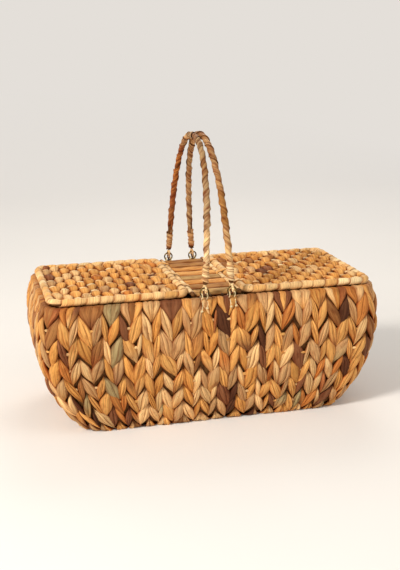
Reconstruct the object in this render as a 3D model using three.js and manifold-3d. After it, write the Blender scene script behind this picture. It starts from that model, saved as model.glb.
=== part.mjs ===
// A woven picnic basket on a wire frame: a deep woven body, two hinged lids, a fixed middle
// panel between them and two wrapped bail handles that hang in small wire rings.
// Millimetres, +Z up. The origin is under the middle of the base, on the floor.
// X runs along the basket, Y from front (minus) to back (plus).

import * as THREE from 'three';
import { mergeVertices } from 'three/addons/utils/BufferGeometryUtils.js';
import Module from 'manifold-3d';

const wasm = await Module();
wasm.setup();

// Body
const bodyHeight = 180;
const rimHalfLength = 229;
const rimHalfWidth = 108;
const endSwell = 9;
const sideSwell = 4;
const swellPower = 0.7;
const endTuck = 46;
const sideTuck = 13;
const tuckPower = 3.2;
const rimCornerRadius = 28;
const baseCornerRadius = 34;
const wallThickness = 11;
const floorThickness = 9;
const rimRounding = 4;
const baseRounding = 3;

// Weave of the body: upright columns of leaves in rows that overlap like shingles
const columnCount = 50;
const rowCount = 7;
const firstRowDrop = 7;
const rowPower = 1.2;
const leafStep = 2.4;
const leafLip = 1.6;
const sideSqueeze = 2.2;
const endSqueeze = 2;

// Clearances
const seatGap = 0.3;
const turningGap = 0.8;
const loopGap = 0.4;
const cutPast = 1;

// Wire frame of the body
const rimWireRadius = 2;
const rimWireDepth = 0.5;
const ribRadius = 1.5;
const ribBend = 8;
const ribFloorBend = 12;
const ribTopDrop = 2;
const crossRibSpacing = 60;
const crossRibCount = 5;
const longRibOffset = 35;
const baseRingEndInset = 7;
const baseRingSideInset = 14;
const baseRingCorner = 30;

// Middle panel
const rodOffset = 32;
const rodRadius = 3.4;
const rodChamfer = 1;
const panelSideInset = 6.5;
const slatCount = 8;
const slatThickness = 2.4;
const slatEdge = 0.7;
const slatSpacing = 0.5;
const panelWireOffset = 8;

// Lids
const lidSideInset = 6;
const lidEndInset = 4;
const lidBarRadius = 4.8;
const lidCornerRadius = 12;
const lidWeaveThickness = 6;
const lidWeaveBevel = 1;
const lidWireOffset = 32;

// Hinge bands
const bandThickness = 1.2;
const bandWidth = 8;
const bandSideInset = 38.6;
const bandRoom = 1;

// Rings and their ties
const ringRadius = 6;
const ringWireRadius = 1;
const footOffset = 19;
const ringOverhang = 1.5;
const ringOverRim = 1.5;
const tieRadius = 0.75;
const tieOffset = 3.6;
const tieRoom = 0.8;
const tieSideRoom = 0.4;

// Handles
const handleRise = 200;
const handlePower = 2.3;
const handleRadius = 5;
const coreRadius = 3.1;
const wrapRoom = 0.8;
const eyeWireRadius = 1.1;
const eyeRoom = 0.9;
const eyeSeat = 0.6;
const wrapTurns = 20;
const wrapStart = 34;
const wrapGap = 0.9;
const bindingTurns = 4;
const bindingStart = 3;
const bindingGap = 0.8;
const bindingRise = 0.6;

// Counts of flat faces that stand for each round one
const cornerSteps = 6;
const lidCornerSteps = 4;
const weaveCornerSteps = 3;
const wallLevels = 11;
const ribLevels = 8;
const ribBendSteps = 4;
const thinWireSides = 6;
const rimWireSides = 8;
const lidBarSides = 10;
const rodSides = 12;
const ringSteps = 18;
const tieSides = 5;
const bandSteps = 5;
const coreSides = 8;
const archLegSteps = 6;
const archLegShare = 0.24;
const archTopSteps = 36;
const wrapStepsPerTurn = 8;

// Places that follow from the sizes above
const panelHalfWidth = rimHalfWidth - panelSideInset;
const lidHalfWidth = rimHalfWidth - lidSideInset;
const lidEnd = rimHalfLength - lidEndInset;
const bandOffset = lidHalfWidth - bandSideInset;
const footHalfWidth = rimHalfWidth + ringOverhang;
const baseRingHalfLength = rimHalfLength - endTuck - wallThickness - baseRingEndInset;
const baseRingHalfWidth = rimHalfWidth - sideTuck - wallThickness - baseRingSideInset;
const rodHeight = bodyHeight + seatGap + rodRadius;
const lidBarHeight = bodyHeight + seatGap + lidBarRadius;
const underWireHeight = bodyHeight + seatGap + ribRadius;
const underWireTop = underWireHeight + ribRadius + seatGap;
const lidHinge = rodOffset + rodRadius + turningGap + lidBarRadius;
const ringHeight = bodyHeight + ringOverRim + ringWireRadius + ringRadius;
const ringHole = ringRadius - ringWireRadius;
const pivotHeight = ringHeight - (ringHole - seatGap - eyeWireRadius);
const leanAngle = Math.asin((footOffset - handleRadius - seatGap) / handleRise);
const eyeRadius = (ringHeight + ringRadius + ringWireRadius + eyeRoom + eyeWireRadius - pivotHeight) / 2;
const coreStart = 2 * eyeRadius - eyeSeat;
const wrapInnerRadius = coreRadius + wrapRoom;
const bindingOuterRadius = handleRadius + bindingRise;

const straw = new THREE.MeshStandardMaterial({ color: 0xc9924e, roughness: 0.75, metalness: 0 });
const paleStraw = new THREE.MeshStandardMaterial({ color: 0xe0b878, roughness: 0.7, metalness: 0 });
const brownStraw = new THREE.MeshStandardMaterial({ color: 0x9a6433, roughness: 0.75, metalness: 0 });
const slatStraw = new THREE.MeshStandardMaterial({ color: 0xb0793f, roughness: 0.7, metalness: 0 });
const twine = new THREE.MeshStandardMaterial({ color: 0xe6d2a4, roughness: 0.9, metalness: 0 });
const frameWire = new THREE.MeshStandardMaterial({ color: 0x5a4a38, roughness: 0.5, metalness: 0.8 });
const brassWire = new THREE.MeshStandardMaterial({ color: 0x7a6238, roughness: 0.4, metalness: 0.9 });

// Mesh helpers

function signedVolume(position, index) {
  const a = new THREE.Vector3();
  const b = new THREE.Vector3();
  const c = new THREE.Vector3();
  let volume = 0;
  for (let i = 0; i < index.length; i += 3) {
    a.fromBufferAttribute(position, index[i]);
    b.fromBufferAttribute(position, index[i + 1]);
    c.fromBufferAttribute(position, index[i + 2]);
    volume += a.dot(b.cross(c)) / 6;
  }
  return volume;
}

function closedGeometry(vertices, triangles) {
  const geometry = new THREE.BufferGeometry();
  const numbers = vertices.flatMap((vertex) => vertex.toArray());
  geometry.setAttribute('position', new THREE.Float32BufferAttribute(numbers, 3));
  const outward = signedVolume(geometry.attributes.position, triangles) > 0;
  const faces = outward ? triangles : triangles.slice().reverse();
  geometry.setIndex(faces);
  return geometry;
}

// Joins rings of points, each with the same number of points, into one closed skin.
// When loops is true the last ring joins the first, and otherwise both ends are capped.
function skin(rings, loops = false) {
  const sides = rings[0].length;
  const vertices = rings.flat();
  const triangles = [];
  const spans = loops ? rings.length : rings.length - 1;
  for (let i = 0; i < spans; i += 1) {
    const here = i * sides;
    const next = ((i + 1) % rings.length) * sides;
    for (let j = 0; j < sides; j += 1) {
      const k = (j + 1) % sides;
      triangles.push(here + j, here + k, next + k, here + j, next + k, next + j);
    }
  }
  if (!loops) {
    addCap(vertices, triangles, 0, sides, true);
    addCap(vertices, triangles, (rings.length - 1) * sides, sides, false);
  }
  return closedGeometry(vertices, triangles);
}

function addCap(vertices, triangles, first, sides, facesBack) {
  const middle = new THREE.Vector3();
  for (let j = 0; j < sides; j += 1) middle.add(vertices[first + j]);
  vertices.push(middle.divideScalar(sides));
  const centre = vertices.length - 1;
  for (let j = 0; j < sides; j += 1) {
    const here = first + j;
    const next = first + ((j + 1) % sides);
    if (facesBack) triangles.push(centre, next, here);
    else triangles.push(centre, here, next);
  }
}

// A round wire along points that lie in one plane, whose normal is given.
function wire(points, normal, radius, sides, loops = false) {
  const last = points.length - 1;
  const rings = points.map((point, i) => {
    const before = loops ? points[(i + last) % points.length] : points[Math.max(i - 1, 0)];
    const after = loops ? points[(i + 1) % points.length] : points[Math.min(i + 1, last)];
    const tangent = after.clone().sub(before).normalize();
    const across = tangent.clone().cross(normal).normalize();
    const ring = [];
    for (let j = 0; j < sides; j += 1) {
      const turn = (2 * Math.PI * (j + 0.5)) / sides;
      ring.push(point.clone()
        .addScaledVector(across, radius * Math.cos(turn))
        .addScaledVector(normal, radius * Math.sin(turn)));
    }
    return ring;
  });
  return skin(rings, loops);
}

function toSolid(geometry) {
  const bare = geometry.clone();
  bare.deleteAttribute('normal');
  bare.deleteAttribute('uv');
  const merged = mergeVertices(bare, 1e-4);
  return new wasm.Manifold(new wasm.Mesh({
    numProp: 3,
    vertProperties: new Float32Array(merged.attributes.position.array),
    triVerts: new Uint32Array(merged.index.array),
  }));
}

function fromSolid(solid) {
  const mesh = solid.getMesh();
  const geometry = new THREE.BufferGeometry();
  geometry.setAttribute('position', new THREE.BufferAttribute(new Float32Array(mesh.vertProperties), 3));
  geometry.setIndex(new THREE.BufferAttribute(new Uint32Array(mesh.triVerts), 1));
  return geometry;
}

function cut(geometry, cutters) {
  const solid = cutters.reduce((left, cutter) => left.subtract(toSolid(cutter)), toSolid(geometry));
  return fromSolid(solid);
}

function block(low, high) {
  const geometry = new THREE.BoxGeometry(high[0] - low[0], high[1] - low[1], high[2] - low[2]);
  geometry.translate((low[0] + high[0]) / 2, (low[1] + high[1]) / 2, (low[2] + high[2]) / 2);
  return geometry;
}

function piece(name, geometry, material) {
  const mesh = new THREE.Mesh(geometry, material);
  mesh.name = name;
  return mesh;
}

// Outline helpers

function roundedRectangle(halfLength, halfWidth, corner, steps) {
  const points = [];
  for (let quarter = 0; quarter < 4; quarter += 1) {
    const signX = quarter === 0 || quarter === 3 ? 1 : -1;
    const signY = quarter < 2 ? 1 : -1;
    for (let i = 0; i <= steps; i += 1) {
      const turn = ((quarter + i / steps) * Math.PI) / 2;
      const x = signX * (halfLength - corner) + corner * Math.cos(turn);
      const y = signY * (halfWidth - corner) + corner * Math.sin(turn);
      points.push([x, y]);
    }
  }
  return points;
}

// Points on an arc that are set out so that the straight steps between them just touch the circle.
function arcRound(centre, radius, from, sweep) {
  const step = sweep / bandSteps;
  const reach = radius / Math.cos(step / 2);
  return Array.from({ length: bandSteps + 1 }, (unused, i) => {
    const turn = from + step * i;
    return [centre[0] + reach * Math.cos(turn), centre[1] + reach * Math.sin(turn)];
  });
}

// A closed line drawn tight round two circles, in the plane of the circles.
function lineRoundCircles(centreA, radiusA, centreB, radiusB) {
  const along = Math.atan2(centreB[1] - centreA[1], centreB[0] - centreA[0]);
  const apart = Math.hypot(centreB[0] - centreA[0], centreB[1] - centreA[1]);
  const flank = Math.acos((radiusA - radiusB) / apart);
  return [
    ...arcRound(centreA, radiusA, along + flank, 2 * (Math.PI - flank)),
    ...arcRound(centreB, radiusB, along - flank, 2 * flank),
  ];
}

// Woven body

function bodySize(height) {
  const depth = 1 - height / bodyHeight;
  const swell = Math.sin(Math.PI * depth ** swellPower);
  const tuck = depth ** tuckPower;
  return {
    halfLength: rimHalfLength + endSwell * swell - endTuck * tuck,
    halfWidth: rimHalfWidth + sideSwell * swell - sideTuck * tuck,
    corner: rimCornerRadius + (baseCornerRadius - rimCornerRadius) * depth,
  };
}

// Lengths from the middle of a long side, and from the middle of an end, to the middle of the corner.
function quarterLengths(size) {
  const arc = (size.corner * Math.PI) / 4;
  return [size.halfLength - size.corner + arc, size.halfWidth - size.corner + arc];
}

// A point of the wall. place counts columns round the rim from the middle of the front. The columns
// run upright down the faces and draw together towards the corners.
function columnPoint(place, height, inset) {
  const { halfLength, halfWidth, corner } = bodySize(height);
  const size = { halfLength: halfLength - inset, halfWidth: halfWidth - inset, corner: corner - inset };
  const [rimLong, rimEnd] = quarterLengths(bodySize(bodyHeight));
  const [long, end] = quarterLengths(size);
  const quarter = rimLong + rimEnd;
  const distance = (place / columnCount) * 4 * quarter;
  const wall = [0, 1, 2, 3, 4].find((i) => distance <= i * quarter + (i % 2 ? rimEnd : rimLong));
  const onEnd = wall % 2 === 1;
  const reach = onEnd ? rimEnd : rimLong;
  const along = distance - wall * quarter;
  const squeeze = (Math.abs(along) / reach) ** (onEnd ? endSqueeze : sideSqueeze);
  const drawnIn = Math.abs(along) - (reach - (onEnd ? end : long)) * squeeze;
  const straight = (onEnd ? size.halfWidth : size.halfLength) - size.corner;
  const turn = Math.max(drawnIn - straight, 0) / size.corner;
  const level = Math.sign(along) * (Math.min(drawnIn, straight) + size.corner * Math.sin(turn));
  const out = (onEnd ? size.halfLength : size.halfWidth) - size.corner * (1 - Math.cos(turn));
  const upward = new THREE.Vector3(0, 0, 1);
  return new THREE.Vector3(level, -out, height).applyAxisAngle(upward, (wall * Math.PI) / 2);
}

// A ring with two points for each column: one where it meets the next column and one in its middle.
function columnRing(lineHeight, middleHeight, inset) {
  return Array.from({ length: 2 * columnCount }, (unused, i) => (
    columnPoint(i / 2, i % 2 ? middleHeight : lineHeight, inset)
  ));
}

// The height where a row of leaves comes out from under the row above. Rows shorten towards the base.
function rowHeight(row) {
  return (bodyHeight - firstRowDrop) * (1 - row / rowCount) ** rowPower;
}

// The step inwards from the tips of one row of leaves to the tucked-in tops of the next.
function rowStep(row) {
  const line = rowHeight(row);
  const middle = rowHeight(row + 0.5);
  const halfLip = leafLip / 2;
  return [
    columnRing(line - halfLip, middle - halfLip, leafStep),
    columnRing(line + halfLip, middle + halfLip, 0),
  ];
}

function bodyRing(height, inset) {
  const size = bodySize(height);
  const corner = size.corner - inset;
  return roundedRectangle(size.halfLength - inset, size.halfWidth - inset, corner, cornerSteps)
    .map(([x, y]) => new THREE.Vector3(x, y, height));
}

function levels(from, to, count) {
  return Array.from({ length: count }, (unused, i) => from + ((to - from) * i) / (count - 1));
}

// The rings of a quarter-round edge, from the flat face to the wall. up is 1 at the base and -1 at the rim.
function roundedEdge(height, radius, up) {
  return [1, 0.5, 0].map((share) => {
    const turn = (share * Math.PI) / 2;
    const z = height + up * radius * (1 - Math.sin(turn));
    return columnRing(z, z, radius * (1 - Math.cos(turn)));
  });
}

function rimWirePath() {
  const inset = wallThickness / 2;
  const { halfLength, halfWidth, corner } = bodySize(bodyHeight);
  return roundedRectangle(halfLength - inset, halfWidth - inset, corner - inset, cornerSteps);
}

const rimWireHeight = bodyHeight - rimWireDepth - rimWireRadius;

function rimGroove() {
  const halfGroove = rimWireRadius + seatGap;
  const low = rimWireHeight - rimWireRadius - seatGap;
  const high = bodyHeight + seatGap;
  const path = rimWirePath();
  const rings = path.map(([x, y], i) => {
    const before = path[(i + path.length - 1) % path.length];
    const after = path[(i + 1) % path.length];
    const side = new THREE.Vector3(after[1] - before[1], before[0] - after[0], 0).normalize();
    const corners = [[-1, low], [1, low], [1, high], [-1, high]];
    return corners.map(([sign, z]) => new THREE.Vector3(x, y, z).addScaledVector(side, sign * halfGroove));
  });
  return skin(rings, true);
}

// A slot across the wall's top for the one thread that loops round the rim wire there.
function tieSlot(sideX, sideY, sideTie) {
  const middle = sideX * footOffset + sideTie * tieOffset;
  const halfSlot = tieRadius + tieSideRoom;
  const low = rimWireHeight - rimWireRadius - seatGap - 2 * tieRadius - tieRoom;
  const outer = rimHalfWidth + sideSwell;
  const inner = rimHalfWidth - wallThickness - cutPast;
  const nearY = sideY > 0 ? inner : -outer;
  const farY = sideY > 0 ? outer : -inner;
  return block(
    [middle - halfSlot, nearY, low],
    [middle + halfSlot, farY, bodyHeight + cutPast],
  );
}

function wovenBody() {
  const bottomEdge = roundedEdge(0, baseRounding, 1);
  const topEdge = roundedEdge(bodyHeight, rimRounding, -1).reverse();
  const rows = Array.from({ length: rowCount }, (unused, i) => rowStep(rowCount - 1 - i)).flat();
  const outside = skin([...bottomEdge, ...rows, ...topEdge]);
  const innerWall = levels(floorThickness, bodyHeight, wallLevels).map((z) => bodyRing(z, wallThickness));
  const mouth = innerWall[wallLevels - 1].map((point) => point.clone().setZ(bodyHeight + cutPast));
  const inside = skin([...innerWall, mouth]);
  const signs = [-1, 1];
  const slots = signs.flatMap((sideX) => signs.flatMap((sideY) => (
    signs.map((sideTie) => tieSlot(sideX, sideY, sideTie))
  )));
  return piece('woven_body', cut(outside, [inside, rimGroove(), ...slots]), straw);
}

function rimWire() {
  const points = rimWirePath().map(([x, y]) => new THREE.Vector3(x, y, rimWireHeight));
  const geometry = wire(points, new THREE.Vector3(0, 0, 1), rimWireRadius, rimWireSides, true);
  return piece('rim_wire', geometry, frameWire);
}

// A rib runs down one wall, across the floor and up the other, just inside the weave.
// reach gives the half size of the inside at a height, and lift is how far it is off the floor.
function ribProfile(reach, lift) {
  const offWall = ribRadius + seatGap;
  const floor = floorThickness + seatGap + ribRadius + lift;
  const besideWall = (z) => {
    const slope = reach(z + 0.5) - reach(z - 0.5);
    return [reach(z) - offWall * Math.hypot(1, slope) - seatGap / 2, z];
  };
  const wall = levels(bodyHeight - ribTopDrop, floor + ribBend, ribLevels).map(besideWall);
  const bend = [wall[wall.length - 1], besideWall(floor), [besideWall(floor)[0] - ribFloorBend, floor]]
    .map(([across, z]) => new THREE.Vector2(across, z));
  const curve = new THREE.QuadraticBezierCurve(...bend);
  return [...wall, ...curve.getPoints(ribBendSteps).slice(1).map((point) => point.toArray())];
}

function mirrored(profile) {
  const otherSide = profile.slice().reverse().map(([across, z]) => [-across, z]);
  return [...profile, ...otherSide];
}

function crossRib(name, x) {
  const profile = ribProfile((z) => bodySize(z).halfWidth - wallThickness, 0);
  const points = mirrored(profile).map(([y, z]) => new THREE.Vector3(x, y, z));
  return piece(name, wire(points, new THREE.Vector3(1, 0, 0), ribRadius, thinWireSides), frameWire);
}

const baseRingLift = 2 * ribRadius + seatGap;

function longRib(name, y) {
  const profile = ribProfile((z) => bodySize(z).halfLength - wallThickness, 2 * baseRingLift);
  const points = mirrored(profile).map(([x, z]) => new THREE.Vector3(x, y, z));
  return piece(name, wire(points, new THREE.Vector3(0, 1, 0), ribRadius, thinWireSides), frameWire);
}

function baseRing() {
  const z = floorThickness + seatGap + ribRadius + baseRingLift;
  const points = roundedRectangle(baseRingHalfLength, baseRingHalfWidth, baseRingCorner, cornerSteps)
    .map(([x, y]) => new THREE.Vector3(x, y, z));
  const geometry = wire(points, new THREE.Vector3(0, 0, 1), ribRadius, thinWireSides, true);
  return piece('base_wire', geometry, frameWire);
}

function bodyFrame() {
  const group = new THREE.Group();
  group.add(rimWire(), baseRing());
  for (let i = 0; i < crossRibCount; i += 1) {
    const x = (i - (crossRibCount - 1) / 2) * crossRibSpacing;
    group.add(crossRib(`cross_rib_${i + 1}`, x));
  }
  group.add(longRib('long_rib_front', -longRibOffset), longRib('long_rib_back', longRibOffset));
  return group;
}

// Middle panel

// A thin level wire that carries the slats or the lid's weave.
function levelWire(from, to) {
  const upward = new THREE.Vector3(0, 0, 1);
  return wire([new THREE.Vector3(...from), new THREE.Vector3(...to)], upward, ribRadius, thinWireSides);
}

function panelRod(name, x) {
  const stations = [
    [-panelHalfWidth, rodRadius - rodChamfer], [-panelHalfWidth + rodChamfer, rodRadius],
    [panelHalfWidth - rodChamfer, rodRadius], [panelHalfWidth, rodRadius - rodChamfer],
  ];
  const rings = stations.map(([y, radius]) => (
    Array.from({ length: rodSides }, (unused, j) => {
      const turn = (2 * Math.PI * (j + 0.5)) / rodSides;
      return new THREE.Vector3(x + radius * Math.cos(turn), y, rodHeight + radius * Math.sin(turn));
    })
  ));
  return piece(name, skin(rings), paleStraw);
}

function panelSlat(name, index) {
  const pitch = (2 * panelHalfWidth + slatSpacing) / slatCount;
  const halfSlat = (pitch - slatSpacing) / 2;
  const middle = -panelHalfWidth + halfSlat + index * pitch;
  const halfLength = rodOffset - rodRadius - seatGap;
  const low = underWireTop;
  const high = low + slatThickness;
  const section = [
    [-halfSlat + slatEdge, low], [halfSlat - slatEdge, low],
    [halfSlat, low + slatEdge], [halfSlat, high - slatEdge],
    [halfSlat - slatEdge, high], [-halfSlat + slatEdge, high],
    [-halfSlat, high - slatEdge], [-halfSlat, low + slatEdge],
  ];
  const rings = [-halfLength, halfLength].map((x) => (
    section.map(([y, z]) => new THREE.Vector3(x, middle + y, z))
  ));
  const notchReach = rodRadius + loopGap + bandThickness + bandRoom + turningGap;
  const halfNotch = bandWidth / 2 + bandRoom;
  const touching = bandPlaces().filter((y) => Math.abs(y - middle) < halfSlat + halfNotch);
  const cutters = touching.flatMap((y) => (
    [[rodOffset - notchReach, rodOffset], [-rodOffset, notchReach - rodOffset]].map(([nearX, farX]) => (
      block([nearX, y - halfNotch, low - cutPast], [farX, y + halfNotch, high + cutPast])
    ))
  ));
  return piece(name, cut(skin(rings), cutters), slatStraw);
}

function bandPlaces() {
  return [-bandOffset, 0, bandOffset];
}

function middlePanel() {
  const group = new THREE.Group();
  group.add(panelRod('panel_rod_left', -rodOffset), panelRod('panel_rod_right', rodOffset));
  for (let i = 0; i < slatCount; i += 1) {
    group.add(panelSlat(`panel_slat_${i + 1}`, i));
  }
  [['panel_wire_left', -panelWireOffset], ['panel_wire_right', panelWireOffset]].forEach(([name, x]) => {
    const from = [x, -panelHalfWidth, underWireHeight];
    const to = [x, panelHalfWidth, underWireHeight];
    group.add(piece(name, levelWire(from, to), frameWire));
  });
  return group;
}

// Rings and ties

function ringGeometry(radius, wireRadius) {
  const points = Array.from({ length: ringSteps }, (unused, i) => {
    const turn = (2 * Math.PI * i) / ringSteps;
    return new THREE.Vector3(radius * Math.cos(turn), 0, radius * Math.sin(turn));
  });
  return wire(points, new THREE.Vector3(0, 1, 0), wireRadius, thinWireSides, true);
}

function handleRing(name, sideX, sideY) {
  const mesh = piece(name, ringGeometry(ringRadius, ringWireRadius), brassWire);
  mesh.position.set(sideX * footOffset, sideY * footHalfWidth, ringHeight);
  return mesh;
}

function ringTie(name, sideX, sideY, sideTie) {
  const wireY = rimHalfWidth - wallThickness / 2;
  const dip = Math.sqrt(ringRadius ** 2 - tieOffset ** 2);
  const rimCircle = [wireY, rimWireHeight];
  const ringCircle = [footHalfWidth, ringHeight - dip];
  const overRim = rimWireRadius + seatGap + tieRadius;
  const ringSlope = tieOffset / dip;
  const overRing = ringWireRadius * Math.hypot(1, ringSlope) + tieRadius * ringSlope + seatGap + tieRadius;
  const x = sideX * footOffset + sideTie * tieOffset;
  const points = lineRoundCircles(rimCircle, overRim, ringCircle, overRing)
    .map(([y, z]) => new THREE.Vector3(x, sideY * y, z));
  return piece(name, wire(points, new THREE.Vector3(1, 0, 0), tieRadius, tieSides, true), twine);
}

function ringsAndTies() {
  const group = new THREE.Group();
  [['left', -1], ['right', 1]].forEach(([sideName, sideX]) => {
    [['front', -1], ['back', 1]].forEach(([faceName, sideY]) => {
      const place = `${faceName}_${sideName}`;
      group.add(handleRing(`handle_ring_${place}`, sideX, sideY));
      group.add(ringTie(`ring_tie_${place}_outer`, sideX, sideY, sideX));
      group.add(ringTie(`ring_tie_${place}_inner`, sideX, sideY, -sideX));
    });
  });
  return group;
}

// Lids, drawn for the right-hand side and turned half round for the left

function lidFrame(name) {
  const halfLength = (lidEnd - lidBarRadius - lidHinge) / 2;
  const middle = (lidEnd - lidBarRadius + lidHinge) / 2;
  const points = roundedRectangle(halfLength, lidHalfWidth - lidBarRadius, lidCornerRadius, lidCornerSteps)
    .map(([x, y]) => new THREE.Vector3(middle + x, y, lidBarHeight));
  return piece(name, wire(points, new THREE.Vector3(0, 0, 1), lidBarRadius, lidBarSides, true), paleStraw);
}

function lidWeave(name) {
  const edge = lidBarRadius + seatGap;
  const low = [lidHinge + edge, -lidHalfWidth + lidBarRadius + edge];
  const high = [lidEnd - lidBarRadius - edge, lidHalfWidth - lidBarRadius - edge];
  const halfLength = (high[0] - low[0]) / 2;
  const halfWidth = (high[1] - low[1]) / 2;
  const middle = (low[0] + high[0]) / 2;
  const corner = lidCornerRadius - edge;
  const layers = [
    [0, lidWeaveBevel], [lidWeaveBevel, 0],
    [lidWeaveThickness - lidWeaveBevel, 0], [lidWeaveThickness, lidWeaveBevel],
  ];
  const rings = layers.map(([rise, inset]) => (
    roundedRectangle(halfLength - inset, halfWidth - inset, corner - inset, weaveCornerSteps)
      .map(([x, y]) => new THREE.Vector3(middle + x, y, underWireTop + rise))
  ));
  const notchEnd = lidHinge + edge + bandThickness + bandRoom;
  const halfNotch = bandWidth / 2 + bandRoom;
  const cutters = bandPlaces().map((y) => block(
    [lidHinge, y - halfNotch, underWireTop - cutPast],
    [notchEnd, y + halfNotch, underWireTop + lidWeaveThickness + cutPast],
  ));
  return piece(name, cut(skin(rings), cutters), straw);
}

function lidWire(name, y) {
  const below = lidBarHeight - underWireHeight;
  const barSide = Math.sqrt(lidBarRadius ** 2 - Math.max(below - ribRadius, 0) ** 2) + seatGap;
  const from = [lidHinge + barSide, y, underWireHeight];
  const to = [lidEnd - lidBarRadius - barSide, y, underWireHeight];
  return piece(name, levelWire(from, to), frameWire);
}

// A flat band that runs round the panel's rod and the lid's inner bar, and turns on the rod.
function hingeBand(name, y) {
  const rod = [rodOffset, rodHeight];
  const bar = [lidHinge, lidBarHeight];
  const inner = lineRoundCircles(rod, rodRadius + loopGap, bar, lidBarRadius + seatGap);
  const outerRod = rodRadius + loopGap + bandThickness;
  const outerBar = lidBarRadius + seatGap + bandThickness;
  const outer = lineRoundCircles(rod, outerRod, bar, outerBar);
  const rings = inner.map(([innerX, innerZ], i) => {
    const [outerX, outerZ] = outer[i];
    return [
      new THREE.Vector3(innerX, y - bandWidth / 2, innerZ),
      new THREE.Vector3(outerX, y - bandWidth / 2, outerZ),
      new THREE.Vector3(outerX, y + bandWidth / 2, outerZ),
      new THREE.Vector3(innerX, y + bandWidth / 2, innerZ),
    ];
  });
  return piece(name, skin(rings, true), brownStraw);
}

function lid(side) {
  const group = new THREE.Group();
  group.add(lidFrame(`${side}_lid_frame`), lidWeave(`${side}_lid_weave`));
  group.add(lidWire(`${side}_lid_wire_1`, -lidWireOffset), lidWire(`${side}_lid_wire_2`, lidWireOffset));
  bandPlaces().forEach((y, i) => group.add(hingeBand(`${side}_lid_hinge_${i + 1}`, y)));
  if (side === 'left') group.rotation.z = Math.PI;
  return group;
}

// Handles, drawn upright round their pivot and then leant inwards until they touch

class HandleArch extends THREE.Curve {
  getPoint(t, target = new THREE.Vector3()) {
    const start = Math.asin((coreStart / handleRise) ** (handlePower / 2));
    const turn = start + (Math.PI - 2 * start) * t;
    const across = Math.abs(Math.cos(turn)) ** (2 / handlePower) * Math.sign(Math.cos(turn));
    const up = Math.sin(turn) ** (2 / handlePower);
    return target.set(0, -footHalfWidth * across, handleRise * up);
  }
}

const arch = new HandleArch();
arch.arcLengthDivisions = 2000;
const archLength = arch.getLength();
const archNormal = new THREE.Vector3(1, 0, 0);

function archFrame(distance) {
  const share = THREE.MathUtils.clamp(distance / archLength, 0, 1);
  const tangent = arch.getTangentAt(share);
  const across = tangent.clone().cross(archNormal).normalize();
  return { point: arch.getPointAt(share), across };
}

function pointOnArch(distance, radius, turn) {
  const { point, across } = archFrame(distance);
  return point
    .addScaledVector(across, radius * Math.cos(turn))
    .addScaledVector(archNormal, radius * Math.sin(turn));
}

// The steps are short where the arch bends and long where its legs are nearly straight.
function coreDistances() {
  const leg = archLength * archLegShare;
  const up = levels(0, leg, archLegSteps + 1);
  const over = levels(leg, archLength - leg, archTopSteps + 1).slice(1);
  const down = levels(archLength - leg, archLength, archLegSteps + 1).slice(1);
  return [...up, ...over, ...down];
}

function handleCore(name) {
  const rings = coreDistances().map((distance) => (
    Array.from({ length: coreSides }, (unused, j) => (
      pointOnArch(distance, coreRadius, (2 * Math.PI * j) / coreSides)
    ))
  ));
  const eyeShape = ringGeometry(eyeRadius, eyeWireRadius).rotateZ(Math.PI / 2);
  const eyes = [-1, 1].map((sideY) => eyeShape.clone().translate(0, sideY * footHalfWidth, eyeRadius));
  const solid = eyes.reduce((joined, eye) => joined.add(toSolid(eye)), toSolid(skin(rings)));
  return piece(name, fromSolid(solid), frameWire);
}

// A flat strip wound round the handle as one unbroken band. Its section has two or three
// stations along the handle, inside and outside, and it advances one pitch in each turn.
function woundStrip(start, length, turns, gap, innerRadius, outerRadius, stations) {
  const width = (length - turns * gap) / (turns + 1);
  const pitch = width + gap;
  const steps = turns * wrapStepsPerTurn;
  const offsets = levels(0, width, stations);
  const rings = [];
  for (let i = 0; i <= steps; i += 1) {
    const turn = (2 * Math.PI * i) / wrapStepsPerTurn;
    const here = start + (pitch * i) / wrapStepsPerTurn;
    const outside = offsets.map((offset) => pointOnArch(here + offset, outerRadius, turn));
    const inside = offsets.map((offset) => pointOnArch(here + offset, innerRadius, turn)).reverse();
    rings.push([...outside, ...inside]);
  }
  return { geometry: skin(rings), gap: leastGap(rings, stations) };
}

// The least distance from the strip's leading edge to its trailing edge one turn on.
function leastGap(rings, stations) {
  const between = (from, to, share) => from.clone().lerp(to, share);
  const edge = (corner) => rings.slice(1).flatMap((ring, i) => (
    [0, 0.25, 0.5, 0.75].map((share) => between(rings[i][corner], ring[corner], share))
  ));
  const trailing = [...edge(0), ...edge(2 * stations - 1)];
  const leading = [...edge(stations - 1), ...edge(stations)];
  return Math.min(...leading.map((point) => Math.min(...trailing.map((other) => point.distanceTo(other)))));
}

function handleWrap(name) {
  const wrapped = archLength - 2 * wrapStart;
  const strip = woundStrip(wrapStart, wrapped, wrapTurns, wrapGap, wrapInnerRadius, handleRadius, 3);
  console.log(`${name}: least gap to itself ${strip.gap.toFixed(2)} mm`);
  return piece(name, strip.geometry, brownStraw);
}

function footBinding(name, atEnd) {
  const length = wrapStart - bindingStart - seatGap;
  const start = atEnd ? archLength - bindingStart - length : bindingStart;
  const strip = woundStrip(start, length, bindingTurns, bindingGap, wrapInnerRadius, bindingOuterRadius, 2);
  console.log(`${name}: least gap to itself ${strip.gap.toFixed(2)} mm`);
  return piece(name, strip.geometry, paleStraw);
}

function handle(side) {
  const sign = side === 'left' ? -1 : 1;
  const group = new THREE.Group();
  group.add(handleCore(`${side}_handle_core`), handleWrap(`${side}_handle_wrap`));
  group.add(footBinding(`${side}_handle_binding_front`, false));
  group.add(footBinding(`${side}_handle_binding_back`, true));
  group.position.set(sign * footOffset, 0, pivotHeight);
  group.rotation.y = -sign * leanAngle;
  return group;
}

const basket = new THREE.Group();
basket.add(wovenBody(), bodyFrame(), middlePanel(), ringsAndTies());
basket.add(lid('left'), lid('right'), handle('left'), handle('right'));

export default basket;
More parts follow.
